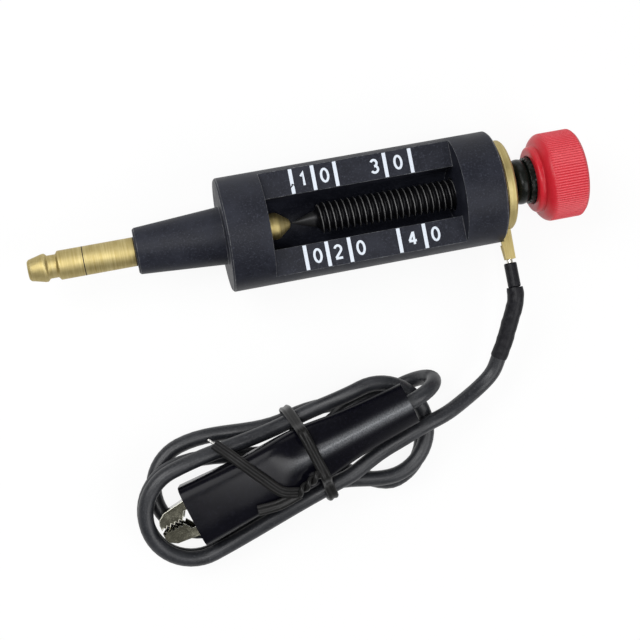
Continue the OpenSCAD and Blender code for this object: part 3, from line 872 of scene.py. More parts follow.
@dataclass
class Barrel:
    """The moulded barrel, the brass in its ends and the printed scale on its flats."""

    bench: Bench
    edge: float = 0.22
    brass_edge: float = 0.12
    turned_sides: int = 72
    round_steps: int = 6
    stud: float = 2.0
    stud_round: float = 0.3
    core: float = 2.8
    dome: float = 3.0
    dome_reach: float = 5.8
    dome_break: float = 0.1
    dome_point: float = 3.0
    dome_round: float = 0.5
    dome_tip: float = 0.9
    tip_round: float = 0.25
    seam_width: float = 0.22
    seam_depth: float = 0.1
    seam_proud: float = 0.01
    seam_clear: float = 0.02
    tongue_widths: tuple[float, float] = (2.9, 2.2)
    tongue_sheet: float = 0.5
    tongue_rise: float = 0.06
    tongue_neck: float = 1.2
    tongue_gap: float = 0.05
    tongue_clear: float = 0.1
    flange_margin: float = 0.6
    print_height: float = 0.04
    print_step: float = 0.006
    flat_above_axis: float = 5.6
    tick_from: float = 5.75
    tick_to: float = 11.2
    tick_width: float = 0.8
    tick_stations: tuple[float, ...] = (16.6, 21.5, 26.5, 37.7, 43.5)
    # The chipped tick's inner part and the broken edge of its outer part, across in half widths and along
    # in millimetres
    chip_inner: tuple[tuple[float, float], ...] = (
        (-1, 0), (-1, 1.3), (0.25, 1.75), (0.4, 2), (1, 1.6), (1, 0))
    chip_outer: tuple[tuple[float, float], ...] = ((-1, 1.6), (-0.125, 2.25), (1, 2.05))
    digit_height: float = 3.3
    digit_width: float = 2.05
    stroke: float = 0.52
    arc_points: int = 24
    mitre_limit: float = 0.35
    upper_row: float = 8.6
    lower_row: float = -8.45
    upper_digits: tuple[tuple[str, float], ...] = (("1", 19.2), ("0", 24.0), ("3", 35.2), ("0", 40.6))
    lower_digits: tuple[tuple[str, float], ...] = (
        ("0", 19.2), ("2", 23.8), ("0", 28.9), ("4", 40.6), ("0", 45.9))

    def build(self) -> None:
        """Build and dress the barrel's pieces."""
        moulding = softened("barrel", "barrel_moulding", self.edge, edge_slot=1)
        self.bench.seat(moulding, Body.TESTER, Slot.BARREL, Finishes.BARREL, "barrel")
        # Second material on the rounded edges: a painted highlight
        moulding.data.materials.append(self.bench.finishes[Finishes.EDGE_HIGHLIGHT])
        for node in ("terminal_nut", "end_bush", "ground_lug"):
            piece = softened(node, f"{node}_turned", self.brass_edge)
            self.bench.seat(piece, Body.TESTER, Slot.BRASS, Finishes.BRASS, node)
        self.bench.seat(self._electrode(), Body.TESTER, Slot.BRASS, Finishes.BRASS, "nose_electrode")
        # Dark rings of painted shade in the seams at the terminal nut and the nose
        self.bench.seat(self._seam(), Body.TESTER, Slot.BRASS, Finishes.SEAM_SHADE)
        self.bench.seat(self._tongue(), Body.TESTER, Slot.BRASS, Finishes.BRASS)
        self.bench.seat(self._scale_print(), Body.TESTER, Slot.BARREL, Finishes.PRINT)

    def _electrode(self) -> bpy.types.Object:
        """Brass rod turned from a rounded profile: stud, shank, core and the dome in the window.

        Returns:
            The rod.
        """
        start, tip, rod, axis_z = self.bench.span("nose_electrode")
        _, seam, _, _ = self.bench.span("terminal_nut")
        nose, _, _, _ = self.bench.span("barrel")
        step = tip - self.dome_reach
        profile = rounded([
            (PIP, start, 0), (self.stud, start, self.stud_round), (self.stud, seam, 0),
            (rod, seam, self.brass_edge), (rod, nose, self.brass_edge),
            (self.core, nose, 0), (self.core, step, 0), (self.dome, step, self.dome_break),
            (self.dome, tip - self.dome_point, self.dome_round),
            (self.dome_tip, tip - self.tip_round, self.tip_round), (PIP, tip, 0),
        ], self.round_steps)
        grid = turned(profile, axis_z, self.turned_sides)
        return MeshMaker().grid(grid).build("nose_electrode_turned", crease=35)

    def _tongue(self) -> bpy.types.Object:
        """Flat of the lug's tongue, from the flange's rim past the barrel's end to the crimp's end.

        Its neck starts a gap away from where the flange's circle is at the height of the flat.

        Returns:
            The flat, a plate level with the crest of the crimp.
        """
        low, high = (np.array(corner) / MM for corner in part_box("ground_lug"))
        _, face, radius, axis_z = self.bench.span("barrel")
        _, _, flange, _ = self.bench.span("end_bush")
        x = (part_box("bare_conductor")[0].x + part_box("bare_conductor")[1].x) / 2 / MM
        wide, narrow = self.tongue_widths
        top, end = -radius - self.tongue_clear, low[1]
        rise = high[0] - x + self.tongue_rise
        rim, left = -np.sqrt(flange**2 - rise**2) - self.tongue_gap, face + self.tongue_gap
        outline = np.array([
            (x - wide / 2, top), (left, top), (left, rim), (x + self.tongue_neck, rim),
            (x + narrow / 2, end), (x - narrow / 2, end),
        ])
        crest = axis_z + rise
        return MeshMaker().plate(outline, crest - self.tongue_sheet, crest).build("lug_tongue", crease=30)

    def _seam(self) -> bpy.types.Object:
        """Painted shade in the seams where the rod meets the terminal nut and the nose: thin dark turned
        rectangles.

        Returns:
            Both lines of painted shade, as rings round the rod.
        """
        _, seam, rod, axis_z = self.bench.span("terminal_nut")
        nose, _, _, _ = self.bench.span("barrel")
        half, depth = self.seam_width / 2, self.seam_depth
        section = np.array([(-depth, -half), (0.0, -half), (0.0, half), (-depth, half)])
        maker = MeshMaker()
        for station in (seam, nose - half - self.seam_clear):
            ring = section + (rod + self.seam_proud, station)
            maker.grid(turned(ring, axis_z, self.turned_sides), loop=True)
        return maker.build("terminal_seam")

    def _arc(self, x: float, y: float, rx: float, ry: float, start: float, end: float) -> Array:
        """Points of an ellipse about x and y between two angles in degrees."""
        a = np.radians(np.linspace(start, end, self.arc_points))
        return np.stack([x + rx * np.cos(a), y + ry * np.sin(a)], -1)

    def _strokes(self, digit: str) -> list[Array]:
        """Middle lines of a digit's strokes, in a box of width and height 1 about the origin.

        Args:
            digit: One of 0, 1, 2, 3 and 4.

        Returns:
            A line of points for each stroke.
        """
        lines = {
            "0": [self._arc(0, 0, 0.5, 0.5, 0, 360)],
            "1": [np.array([(-0.32, 0.24), (0.06, 0.5), (0.06, -0.5)])],
            "2": [np.vstack([self._arc(0, 0.22, 0.46, 0.28, 165, -35), [(-0.44, -0.46)]]),
                  np.array([(-0.5, -0.5), (0.52, -0.5)])],
            "3": [self._arc(0, 0.25, 0.42, 0.25, 155, -90), self._arc(0, -0.24, 0.48, 0.26, 90, -155)],
            "4": [np.array([(0.56, -0.22), (-0.56, -0.22)]), np.array([(-0.5, -0.2), (0.16, 0.46)]),
                  np.array([(0.2, 0.5), (0.2, -0.5)])],
        }
        return lines[digit]

    def _rails(self, line: Array) -> Array:
        """Both sides of a stroke about its line: each point moved along the line's normal and against it.

        Corners are mitred, with each corner's shift lengthened by the turn of the line there.

        Args:
            line: Points of the line.

        Returns:
            The two side points at each point of the line.
        """
        way = unit(np.diff(line, axis=0))
        normal = np.stack([-way[:, 1], way[:, 0]], -1)
        before, after = np.vstack([normal[:1], normal]), np.vstack([normal, normal[-1:]])
        shift = before + after
        shift = shift / np.maximum(np.sum(shift * before, -1, keepdims=True), self.mitre_limit)
        half = self.stroke / 2
        return np.stack([line + half * shift, line - half * shift], 1)

    def _tick(self, chipped: bool) -> list[Array]:
        """Outlines of a tick from its inner end outwards, on a middle line at 0.

        Args:
            chipped: Whether a chip parts the tick in two.

        Returns:
            One outline, or two.
        """
        half, length = self.tick_width / 2, self.tick_to - self.tick_from
        outer_end = np.array([(half, length), (-half, length)])
        if not chipped:
            return [np.vstack([[(-half, 0), (half, 0)], outer_end])]
        inner, outer = (np.array(edge) * (half, 1) for edge in (self.chip_inner, self.chip_outer))
        return [inner, np.vstack([outer, outer_end])]

    def _scale_print(self) -> bpy.types.Object:
        """Ticks and digits of the scale as thin plates on the two flats; the first upper tick is chipped.

        Returns:
            The whole print.
        """
        start, _, _, axis_z = self.bench.span("barrel")
        shoulder = start + self._nose_length()
        low = axis_z + self.flat_above_axis
        high = low + self.print_height
        maker = MeshMaker()
        for station in self.tick_stations:
            for side in (1, -1):
                for outline in self._tick(side == 1 and station == self.tick_stations[0]):
                    across = np.stack([outline[:, 0], side * (self.tick_from + outline[:, 1])], -1)
                    maker.plate(across + (shoulder + station, 0), low, high)
        size = np.array([self.digit_width - self.stroke, self.digit_height - self.stroke])
        for digits, row in ((self.upper_digits, self.upper_row), (self.lower_digits, self.lower_row)):
            for digit, station in digits:
                for n, line in enumerate(self._strokes(digit)):
                    placed = line * size + (shoulder + station, row)
                    self._print_stroke(maker, placed, low, high + n * self.print_step)
        return maker.build("scale_print", crease=30)

    def _nose_length(self) -> float:
        """Length of the nose, from the barrel's start to where it first nears its full radius.

        Returns:
            The length in millimetres.
        """
        mesh = self.bench.nodes["barrel"].data
        points = np.empty(len(mesh.vertices) * 3)
        mesh.vertices.foreach_get("co", points)
        points = points.reshape(-1, 3) / MM
        start, _, radius, axis_z = self.bench.span("barrel")
        reach = np.hypot(points[:, 1], points[:, 2] - axis_z)
        return float(points[reach > radius - self.flange_margin, 0].min() - start)

    def _print_stroke(self, maker: MeshMaker, line: Array, low: float, high: float) -> None:
        """Add one stroke of a digit as a thin bar carried along its line.

        Args:
            maker: Maker of the print's mesh.
            line: Middle line of the stroke, closed where it ends on its first point.
            low: Height of the bar's underside.
            high: Height of its top.
        """
        if np.allclose(line[0], line[-1]):
            path = np.column_stack([line[:-1], np.full(len(line) - 1, (low + high) / 2)])
            half, rise = self.stroke / 2, (high - low) / 2
            section = np.array([(-half, -rise), (half, -rise), (half, rise), (-half, rise)])
            maker.grid(swept(path, section, closed=True), loop=True)
            return
        rails = self._rails(line)
        rings = np.concatenate([
            np.concatenate([rails, np.full((len(line), 2, 1), low)], -1),
            np.concatenate([rails[:, ::-1], np.full((len(line), 2, 1), high)], -1),
        ], 1)
        maker.grid(rings)


@dataclass
class GapScrew:
    """The needle screw, its rubber rings and its ribbed knob."""

    bench: Bench
    pitch: float = 1.4
    thread_depth: float = 0.75
    # Turns over which the thread rises, and shares of the way to a tooth's middle between which its flank
    # rises and between which a highlight is painted on its crest
    thread_fade: float = 0.8
    thread_flank: tuple[float, float] = (0.2, 0.86)
    crest_highlight: tuple[float, float] = (0.86, 0.98)
    needle_length: float = 5.3
    needle_root: float = 1.9
    needle_tip: float = 0.12
    # Share of the painted highlight over the whole needle
    needle_highlight: float = 0.1
    needle_rows: int = 12
    rows_per_turn: int = 14
    screw_sides: int = 64
    round_steps: int = 7
    hub: float = 0.4
    seat_depth: float = 0.4
    seat_round: float = 0.1
    lip_round: float = 0.25
    collar_radius: float = 7.5
    collar_length: float = 1.4
    shoulder_inset: float = 1.5
    shoulder_length: float = 2.8
    shoulder_round: float = 0.9
    rear_break: float = 0.8
    rear_round: float = 0.3
    dish_insets: tuple[float, float] = (2.4, 2.9)
    dish_depth: float = 0.35
    rib_count: int = 104
    rib_depth: float = 0.2
    rib_roundness: float = 0.7
    points_per_rib: int = 8
    rib_rows: int = 14
    # Where the rim's even rows start and end, and where the ribs fade in and out, past the shoulder and
    # before the rear
    rim_margins: tuple[float, float] = (0.7, 0.3)
    rib_fade_in: tuple[float, float] = (-0.3, 1.0)
    rib_fade_out: tuple[float, float] = (0.1, 0.4)
    ring_points: int = 28
    ring_sides: int = 64
    washer_rounds: tuple[float, float, float] = (0.2, 0.45, 0.3)
    washer_studs: int = 26
    washer_rows: int = 2
    washer_relief: float = 0.2
    points_per_stud: int = 10
    stud_band: tuple[float, float] = (1.2, 0.2)

    def build(self) -> None:
        """Build and dress the screw's pieces."""
        self.bench.seat(self._screw(), Body.SCREW, Slot.BLACK_STEEL, Finishes.SCREW, "adjusting_screw")
        self.bench.seat(self._knob(), Body.SCREW, Slot.RED, Finishes.RED, "knob")
        self.bench.seat(self._o_ring(), Body.RING, Slot.RUBBER, Finishes.RUBBER, "o_ring")
        self.bench.seat(self._washer(), Body.SCREW, Slot.RUBBER, Finishes.RUBBER, "rubber_washer")

    def _screw(self) -> bpy.types.Object:
        """Screw whose radius follows a rounded ramp of the station less the turn, counted in pitches.

        Returns:
            The screw with its needle, marked where a highlight is painted on its crests and, faintly, on its
            needle.
        """
        start, end, crest, axis_z = self.bench.span("adjusting_screw")
        root = crest - self.thread_depth
        thread = start + self.needle_length
        needle = np.linspace(start, thread, self.needle_rows)
        body = np.arange(thread, end, self.pitch / self.rows_per_turn)[1:]
        x = np.concatenate([needle, body, [end]])[:, None]
        phase = (x - thread) / self.pitch - round_angles(self.screw_sides) / TAU
        ridge = 1 - 2 * np.abs(phase - np.floor(phase) - 0.5)
        fade = smoothstep(thread, thread + self.thread_fade * self.pitch, x)
        tooth = smoothstep(*self.thread_flank, ridge) * fade
        taper = self.needle_tip + (self.needle_root - self.needle_tip) * (x - start) / self.needle_length
        core = np.where(x <= thread, taper, self.needle_root + (root - self.needle_root) * fade)
        r = core + (crest - root) * tooth
        # Painted highlight along the thread's crests, and a faint one over the needle
        painted_highlight = smoothstep(*self.crest_highlight, ridge) * fade + self.needle_highlight * (x < thread)
        grid = about_axis(x, r, axis_z, self.screw_sides)
        return MeshMaker().grid(grid, values=painted_highlight).build("adjusting_screw_threaded", crease=60)

    def _knob(self) -> bpy.types.Object:
        """Knob turned from a rounded profile, with ribs cut along its rim as a rounded cosine of the angle.

        Returns:
            The knob, marked along the crests of its ribs, where a highlight is painted.
        """
        start, end, radius, axis_z = self.bench.span("knob")
        _, _, washer, _ = self.bench.span("rubber_washer")
        seat = washer + FIT
        length = end - start
        dish_rim, dish_floor = (radius - inset for inset in self.dish_insets)
        floor = length - self.dish_depth
        profile = rounded([
            (self.hub, self.seat_depth, 0), (seat, self.seat_depth, self.seat_round),
            (seat, 0, self.lip_round), (self.collar_radius, 0, self.shoulder_round),
            (self.collar_radius, self.collar_length, self.lip_round),
            (radius - self.shoulder_inset, self.collar_length, self.shoulder_round),
            (radius, self.shoulder_length, self.shoulder_round),
            (radius, length - self.rear_break, self.lip_round),
            (radius - self.rear_break, length, self.rear_round), (dish_rim, length, self.rear_round),
            (dish_floor, floor, self.rear_round), (self.hub, floor, 0),
        ], self.round_steps)
        rim_start, rim_end = self.rim_margins
        rim = np.linspace(self.shoulder_length + rim_start, length - self.rear_break - rim_end, self.rib_rows)
        before, after = profile[profile[:, 1] < rim[0]], profile[profile[:, 1] > rim[-1]]
        profile = np.vstack([before, np.column_stack([np.full(len(rim), radius), rim]), after])
        r, x = profile[:, :1], profile[:, 1:]
        sides = self.rib_count * self.points_per_rib
        wave = (0.5 + 0.5 * np.cos(self.rib_count * round_angles(sides))) ** self.rib_roundness
        none_in, full_in = (self.shoulder_length + past for past in self.rib_fade_in)
        none_out, full_out = length - self.rib_fade_out[0], length - self.rear_break - self.rib_fade_out[1]
        fade = smoothstep(none_in, full_in, x) * smoothstep(none_out, full_out, x)
        grid = about_axis(x + start, r - self.rib_depth * fade * (1 - wave), axis_z, sides)
        # The rib crests are marked for the red finish's painted highlight
        return MeshMaker().grid(grid, values=fade * wave).build("knob_ribbed", crease=50)

    def _o_ring(self) -> bpy.types.Object:
        """Rubber ring: an oval turned about the axis.

        Returns:
            The ring.
        """
        start, end, radius, axis_z = self.bench.span("o_ring")
        _, _, bore, _ = self.bench.span("adjusting_screw")
        half = np.array([(radius - bore - FIT) / 2, (end - start) / 2])
        section = circle_section(1, self.ring_points) * half + (radius - half[0], (start + end) / 2)
        return MeshMaker().grid(turned(section, axis_z, self.ring_sides), loop=True).build("o_ring_round")

    def _washer(self) -> bpy.types.Object:
        """Rubber washer with rows of small studs round its rim: a product of two cosines.

        Returns:
            The washer.
        """
        start, end, radius, axis_z = self.bench.span("rubber_washer")
        _, _, screw, _ = self.bench.span("adjusting_screw")
        bore, middle = screw + FIT, (start + end) / 2
        bore_round, front_round, rear_round = self.washer_rounds
        profile = rounded([
            (bore, middle, 0), (bore, start, bore_round), (radius, start, front_round),
            (radius, end, rear_round), (bore, end, bore_round), (bore, middle, 0),
        ], self.round_steps)[:-1]
        r, x = profile[:, :1], profile[:, 1:]
        sides = self.washer_studs * self.points_per_stud
        rim = smoothstep(radius - self.stud_band[0], radius - self.stud_band[1], r)
        rows = 0.5 + 0.5 * np.cos(TAU * (x - start) / ((end - start) / self.washer_rows))
        studs = 0.5 + 0.5 * np.cos(self.washer_studs * round_angles(sides))
        grid = about_axis(x, r - self.washer_relief * rim * (1 - studs * rows), axis_z, sides)
        return MeshMaker().grid(grid, loop=True).build("rubber_washer_studded", crease=60)


@dataclass
class HankFrame:
    """The hank's own axes, along its runs, across them and up, and the clip's axes on it."""

    at: Point = (-9.35, -51.0, 0.0)
    turn: float = 16.7
    clip_at: Point = (-29.1, 0.0, 9.0)
    clip_tilt: float = 7.5
    boot_length: float = 53.8

    @property
    def clip_axis(self) -> Array:
        """Direction from the boot's mouth to its rear, in the hank's axes."""
        tilt = math.radians(self.clip_tilt)
        return np.array([math.cos(tilt), 0.0, math.sin(tilt)])

    def row(self, points: Array) -> Array:
        """Points in the hank's axes, in the tester's frame."""
        turn = Matrix.Rotation(math.radians(self.turn), 3, "Z")
        return np.asarray(points, float) @ np.array(turn).T + self.at

    def clip(self, points: Array) -> Array:
        """Points in the clip's axes, in the tester's frame.

        Args:
            points: Points from the boot's mouth: along it, across it against the hank's second axis, and up.

        Returns:
            The points.
        """
        tilt = Matrix.Rotation(-math.radians(self.clip_tilt), 3, "Y")
        mirrored = np.asarray(points, float) * (1, -1, 1)
        return self.row(mirrored @ np.array(tilt).T + self.clip_at)


@dataclass
class EarthLead:
    """The lead from the lug's sleeve to the clip, with its free stretch and its hank as one tube."""

    bench: Bench
    axes: HankFrame
    diameter: float = 3.5
    sides: int = 18
    fold_steps: int = 24
    run_steps: int = 12
    free_steps: int = 12
    free_rounds: int = 30
    inside_boot: float = 25.0
    join: float = 3.0
    lead_out: float = 3.5
    layers: Point = (1.75, 6, 10.5)
    tail_end: Point = (26, 3, 1.8)
    waists: tuple[tuple[float, float], ...] = (
        (8.6, 2.7), (-4.8, 2.7), (2.1, 2.7), (-8.7, 6.5), (8.2, 7.2), (-8.7, 10.6))
    shrink_points: tuple[Point, ...] = (
        (42.95, -26.5, 12.45), (41, -31, 10.9), (39.4, -35, 9.5), (37.6, -38.3, 8.35))
    free_points: tuple[Point, ...] = (
        (35.8, -41.6, 7.2), (31.9, -44.4, 6.9), (27, -46.7, 8.8), (22.5, -48.5, 10.7),
        (17.4, -49.8, 11.8), (11.8, -51.9, 11.4), (5.7, -54.1, 10.8))
    sleeve_edge: float = 0.3
    shrink_radius: float = 1.95
    shrink_gap: float = 0.04
    shrink_sides: int = 28
    # Stations past the shrunk sleeve's start and its end between which it swells to its full width
    shrink_start: tuple[float, float] = (-0.9, 1.1)
    shrink_end: tuple[float, float] = (0.25, -0.35)
    # Ripples of the shrunk sleeve: depth, radians to a millimetre along it and waves round it
    ripples: tuple[Point, ...] = ((0.03, 1.7, 2), (0.02, 3.1, -1))

    @property
    def folds(self) -> list[tuple[float, float, float, float, float, float]]:
        """Folds from the clip: side, middle along and across, radius, height in and height out."""
        low, middle, high = self.layers
        return [
            (-1, -25.2, 4.4, 10.2, low, low), (1, 15.75, -5.55, 10.25, low, 6.65),
            (-1, -28.9, 0.6, 10.7, middle, low), (1, 16.6, -3.3, 10.75, 7, 10),
            (-1, -29, 0.4, 10.5, high, middle),
        ]

    def hank_route(self) -> Array:
        """The hank from inside the boot to the join, in the tester's frame.

        The turn out of the boot is a half circle and the boot's tilt more, so that it ends level. A run goes
        evenly along while it eases across and up to its waist and away again. A fold is a half circle that
        eases up or down.

        Returns:
            Points of the hank's middle line.
        """
        axis = self.axes.clip_axis
        rear = np.array(self.axes.clip_at) + self.axes.boot_length * axis
        chord = np.array(self.tail_end) - rear
        across = chord - (chord @ axis) * axis
        radius = np.linalg.norm(across) / 2
        turn = math.pi + math.radians(self.axes.clip_tilt)
        a = np.linspace(0, turn, self.fold_steps + 1)[:, None]
        tail = rear + radius * (1 - np.cos(a)) * unit(across) + radius * np.sin(a) * axis
        inside = rear - np.linspace(self.inside_boot, 0, self.run_steps, endpoint=False)[:, None] * axis
        stretches, last = [inside, tail], tail[-1]
        for i, (v, z) in enumerate(self.waists):
            waist = np.array([0.0, v, z])
            stretches.append(self._half_run(last, waist))
            if i == len(self.folds):
                stretches.append(self._half_run(waist, np.array([self.join, v, z])))
                break
            fold = self._fold(*self.folds[i])
            stretches += [self._half_run(waist, fold[0]), fold[1:]]
            last = fold[-1]
        return self.axes.row(np.vstack(stretches))

    def _half_run(self, a: Array, b: Array) -> Array:
        """Points after a up to b: even steps along, easing across and up."""
        t = np.linspace(0, 1, self.run_steps + 1)[1:]
        return a + (b - a) * np.stack([t, ease(t), ease(t)], -1)

    def _fold(self, side: float, u: float, v: float, r: float, z_in: float, z_out: float) -> Array:
        """Half circle round a fold's middle, easing from one height to the other.

        Args:
            side: 1 for a fold at the boot's rear, -1 for one at its mouth.
            u: Middle of the fold along the hank.
            v: Middle of the fold across the hank.
            r: Radius of the fold.
            z_in: Height at its start.
            z_out: Height at its end.

        Returns:
            Points of the fold.
        """
        a = np.linspace(0, math.pi, self.fold_steps + 1)
        z = z_in + (z_out - z_in) * ease(a / math.pi)
        return np.stack([u + side * r * np.sin(a), v - side * r * np.cos(a), z], -1)

    def route(self) -> Array:
        """The whole lead's middle line from the small sleeve to the clip.

        The free stretch is relaxed, each point towards the middle of its neighbours, so that it bends evenly.

        Returns:
            Points of the middle line.
        """
        low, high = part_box("crimp_sleeve")
        start = np.array([(low.x + high.x) / 2, low.y, (low.z + high.z) / 2]) / MM
        hank = self.hank_route()[::-1]
        ahead = hank[0] + self.lead_out * unit(hank[0] - hank[1])
        corners = np.vstack([start, self.shrink_points, self.free_points, ahead, hank[0]])
        free = spline(corners, self.free_steps)
        for _ in range(self.free_rounds):
            free[1:-1] = (free[:-2] + 2 * free[1:-1] + free[2:]) / 4
        return np.vstack([free, hank[1:]])

    def build(self) -> tuple[bpy.types.Object, bpy.types.Object, Array]:
        """Build the lead and its sleeves.

        Returns:
            The lead, its heat-shrunk sleeve and the lead's middle line.
        """
        path = self.route()
        section = circle_section(self.diameter / 2, self.sides)
        tube = MeshMaker().grid(swept(path, section)).build("earth_lead")
        self.bench.seat(tube, Body.TESTER, Slot.JACKET, Finishes.JACKET, "ground_lead", "lead_hank")
        shrink = self._shrink(path[: len(self.shrink_points) * self.free_steps + 1])
        self.bench.seat(shrink, Body.TESTER, Slot.SLEEVE, Finishes.SHRINK, "heat_shrink")
        sleeve = softened("crimp_sleeve", "crimp_sleeve_soft", self.sleeve_edge)
        self.bench.seat(sleeve, Body.TESTER, Slot.SLEEVE, Finishes.SHRINK, "crimp_sleeve")
        self.bench.dress("bare_conductor", Finishes.TINNED)
        return tube, shrink, path

    def _shrink(self, path: Array) -> bpy.types.Object:
        """Heat-shrunk sleeve: a tube whose radius steps up smoothly from both ends and ripples in sines.

        Args:
            path: The lead's middle line inside the sleeve.

        Returns:
            The sleeve.
        """
        run = run_along(path)[:, None]
        a = round_angles(self.shrink_sides)
        starts = smoothstep(*self.shrink_start, run)
        ends = smoothstep(*(run[-1, 0] + past for past in self.shrink_end), run)
        wave = sum(depth * np.sin(along * run + about * a) for depth, along, about in self.ripples)
        drawn_in = self.diameter / 2 + self.shrink_gap
        full = self.shrink_radius - sum(depth for depth, _, _ in self.ripples)
        r = drawn_in + (full - drawn_in + wave) * starts * ends
        section = np.stack([r * np.cos(a), r * np.sin(a)], -1)
        return MeshMaker().grid(swept(path, section)).build("heat_shrink_sleeve", crease=60)


@dataclass
class Clip:
    """The spring clip: plated jaws on a rivet with a torsion spring, in a soft boot."""

    bench: Bench
    axes: HankFrame
    mouth: tuple[float, float] = (7.2, 5.3)
    rear: tuple[float, float] = (4.8, 4.7)
    wall: float = 0.8
    lip_rows: int = 3
    boot_rows: int = 72
    boot_sides: int = 96
    # Powers of the oval at the mouth and at the rear, and shares of the length between which they change
    mouth_square: float = 4.6
    rear_square: float = 2.3
    square_change: tuple[float, float] = (0.38, 0.75)
    # How far the boot's sides swell at the waist, where along its length and over what share of it
    waist: float = 0.8
    waist_at: float = 0.52
    waist_spread: float = 0.16
    ridge: tuple[float, float] = (21.0, 33.0)
    ridge_width: float = 3.3
    flank_drop: float = 0.45
    # Width of the painted highlight along the ridge's crest
    crest_width: float = 1.0
    pivot: float = 5.0
    wire: float = 0.7
    wire_sides: int = 12
    coil_radius: float = 1.75
    coils: float = 2.5
    coil_pitch: float = 1.2
    coil_steps: int = 24
    leg: float = 12.0
    leg_side: float = 3.4
    jaw_edge: float = 0.22

    def build(self) -> list[bpy.types.Object]:
        """Build and dress the clip's pieces.

        Returns:
            The pieces.
        """
        boot = self.bench.seat(self._boot(), Body.TESTER, Slot.VINYL, Finishes.VINYL, "clip_boot")
        spring = self.bench.bend(self._spring(), self._winding(), Slot.SPRING, Finishes.SPRING, "jaw_spring")
        pieces = [boot, spring]
        for node, body in (("fixed_jaw", Body.TESTER), ("moving_jaw", Body.JAW), ("jaw_pin", Body.TESTER)):
            piece = softened(node, f"{node}_plated", self.jaw_edge, edge_slot=1)
            pieces.append(self.bench.seat(piece, body, Slot.NICKEL, Finishes.NICKEL, node))
            # Second material on the jaws' rounded edges: a painted highlight
            piece.data.materials.append(self.bench.finishes[Finishes.PLATE_EDGE_HIGHLIGHT])
        return pieces

    def _boot(self) -> bpy.types.Object:
        """Boot: a squared oval, from powers of cosine and sine, that tapers to the rear.

        Towards the rear its flanks drop from a ridge that is a bell curve across, with a highlight painted
        along its crest. The surface runs along the outside from mouth to rear, round the rear lip and back
        along the inside.

        Returns:
            The boot, marked along the ridge's crest for its painted highlight.
        """
        t = np.linspace(0, 1, self.boot_rows)
        lip = np.linspace(0, 1, self.lip_rows + 2)[1:-1]
        share = np.concatenate([t, 1 + 0 * lip, t[::-1], 0 * lip])[:, None]
        inset = np.concatenate([0 * t, lip, 1 + 0 * t, lip[::-1]])[:, None] * self.wall
        along = share * self.axes.boot_length
        half_w, half_h = (m + (r - m) * share - inset for m, r in zip(self.mouth, self.rear))
        half_w = half_w + self.waist * bell(share - self.waist_at, self.waist_spread)
        change = smoothstep(*self.square_change, share)
        power = 2 / (self.mouth_square + (self.rear_square - self.mouth_square) * change)
        a = round_angles(self.boot_sides)
        y = half_w * np.sign(np.cos(a)) * np.abs(np.cos(a)) ** power
        z = half_h * np.sign(np.sin(a)) * np.abs(np.sin(a)) ** power
        raised = smoothstep(*self.ridge, along)
        z = z * (1 - self.flank_drop * raised * (1 - bell(y, self.ridge_width)))
        # Painted highlight along the ridge's crest, on the boot's upper half
        ridge_highlight = raised * bell(y, self.crest_width) * (np.sin(a) > 0)
        grid = self.axes.clip(np.stack([along + 0 * a, y, z], -1).reshape(-1, 3)).reshape(*y.shape, 3)
        return MeshMaker().grid(grid, loop=True, values=ridge_highlight).build("clip_boot_sleeve", crease=50)

    def _spring(self) -> bpy.types.Object:
        """Torsion spring: a leg on each handle and a helix round the rivet, as one wire.

        Returns:
            The spring.
        """
        a = np.linspace(0, TAU * self.coils, int(self.coil_steps * self.coils) + 1)
        rise = self.coil_pitch * a / TAU
        half = rise[-1] / 2
        round_pin = [self.pivot - self.coil_radius * np.sin(a), self.coil_radius * np.cos(a), rise - half]
        coil = np.stack(round_pin, -1)
        reach = self.pivot + self.leg
        legs = np.array([(reach, self.leg_side, -half), (reach, -self.leg_side, half)])
        path = self.axes.clip(np.vstack([legs[:1], coil, legs[1:]]))
        up = self.axes.clip(np.array([(0, 0, 1.0)])) - self.axes.clip(np.array([(0, 0, 0.0)]))
        wire = swept(path, circle_section(self.wire / 2, self.wire_sides), up)
        return MeshMaker().grid(wire).build("jaw_spring_wire")

    def _winding(self) -> Array:
        """Ends of the coil along the rivet."""
        half = (self.coil_pitch * self.coils - self.wire) / 2
        return self.axes.clip(np.array([(self.pivot, 0, -half), (self.pivot, 0, half)]))


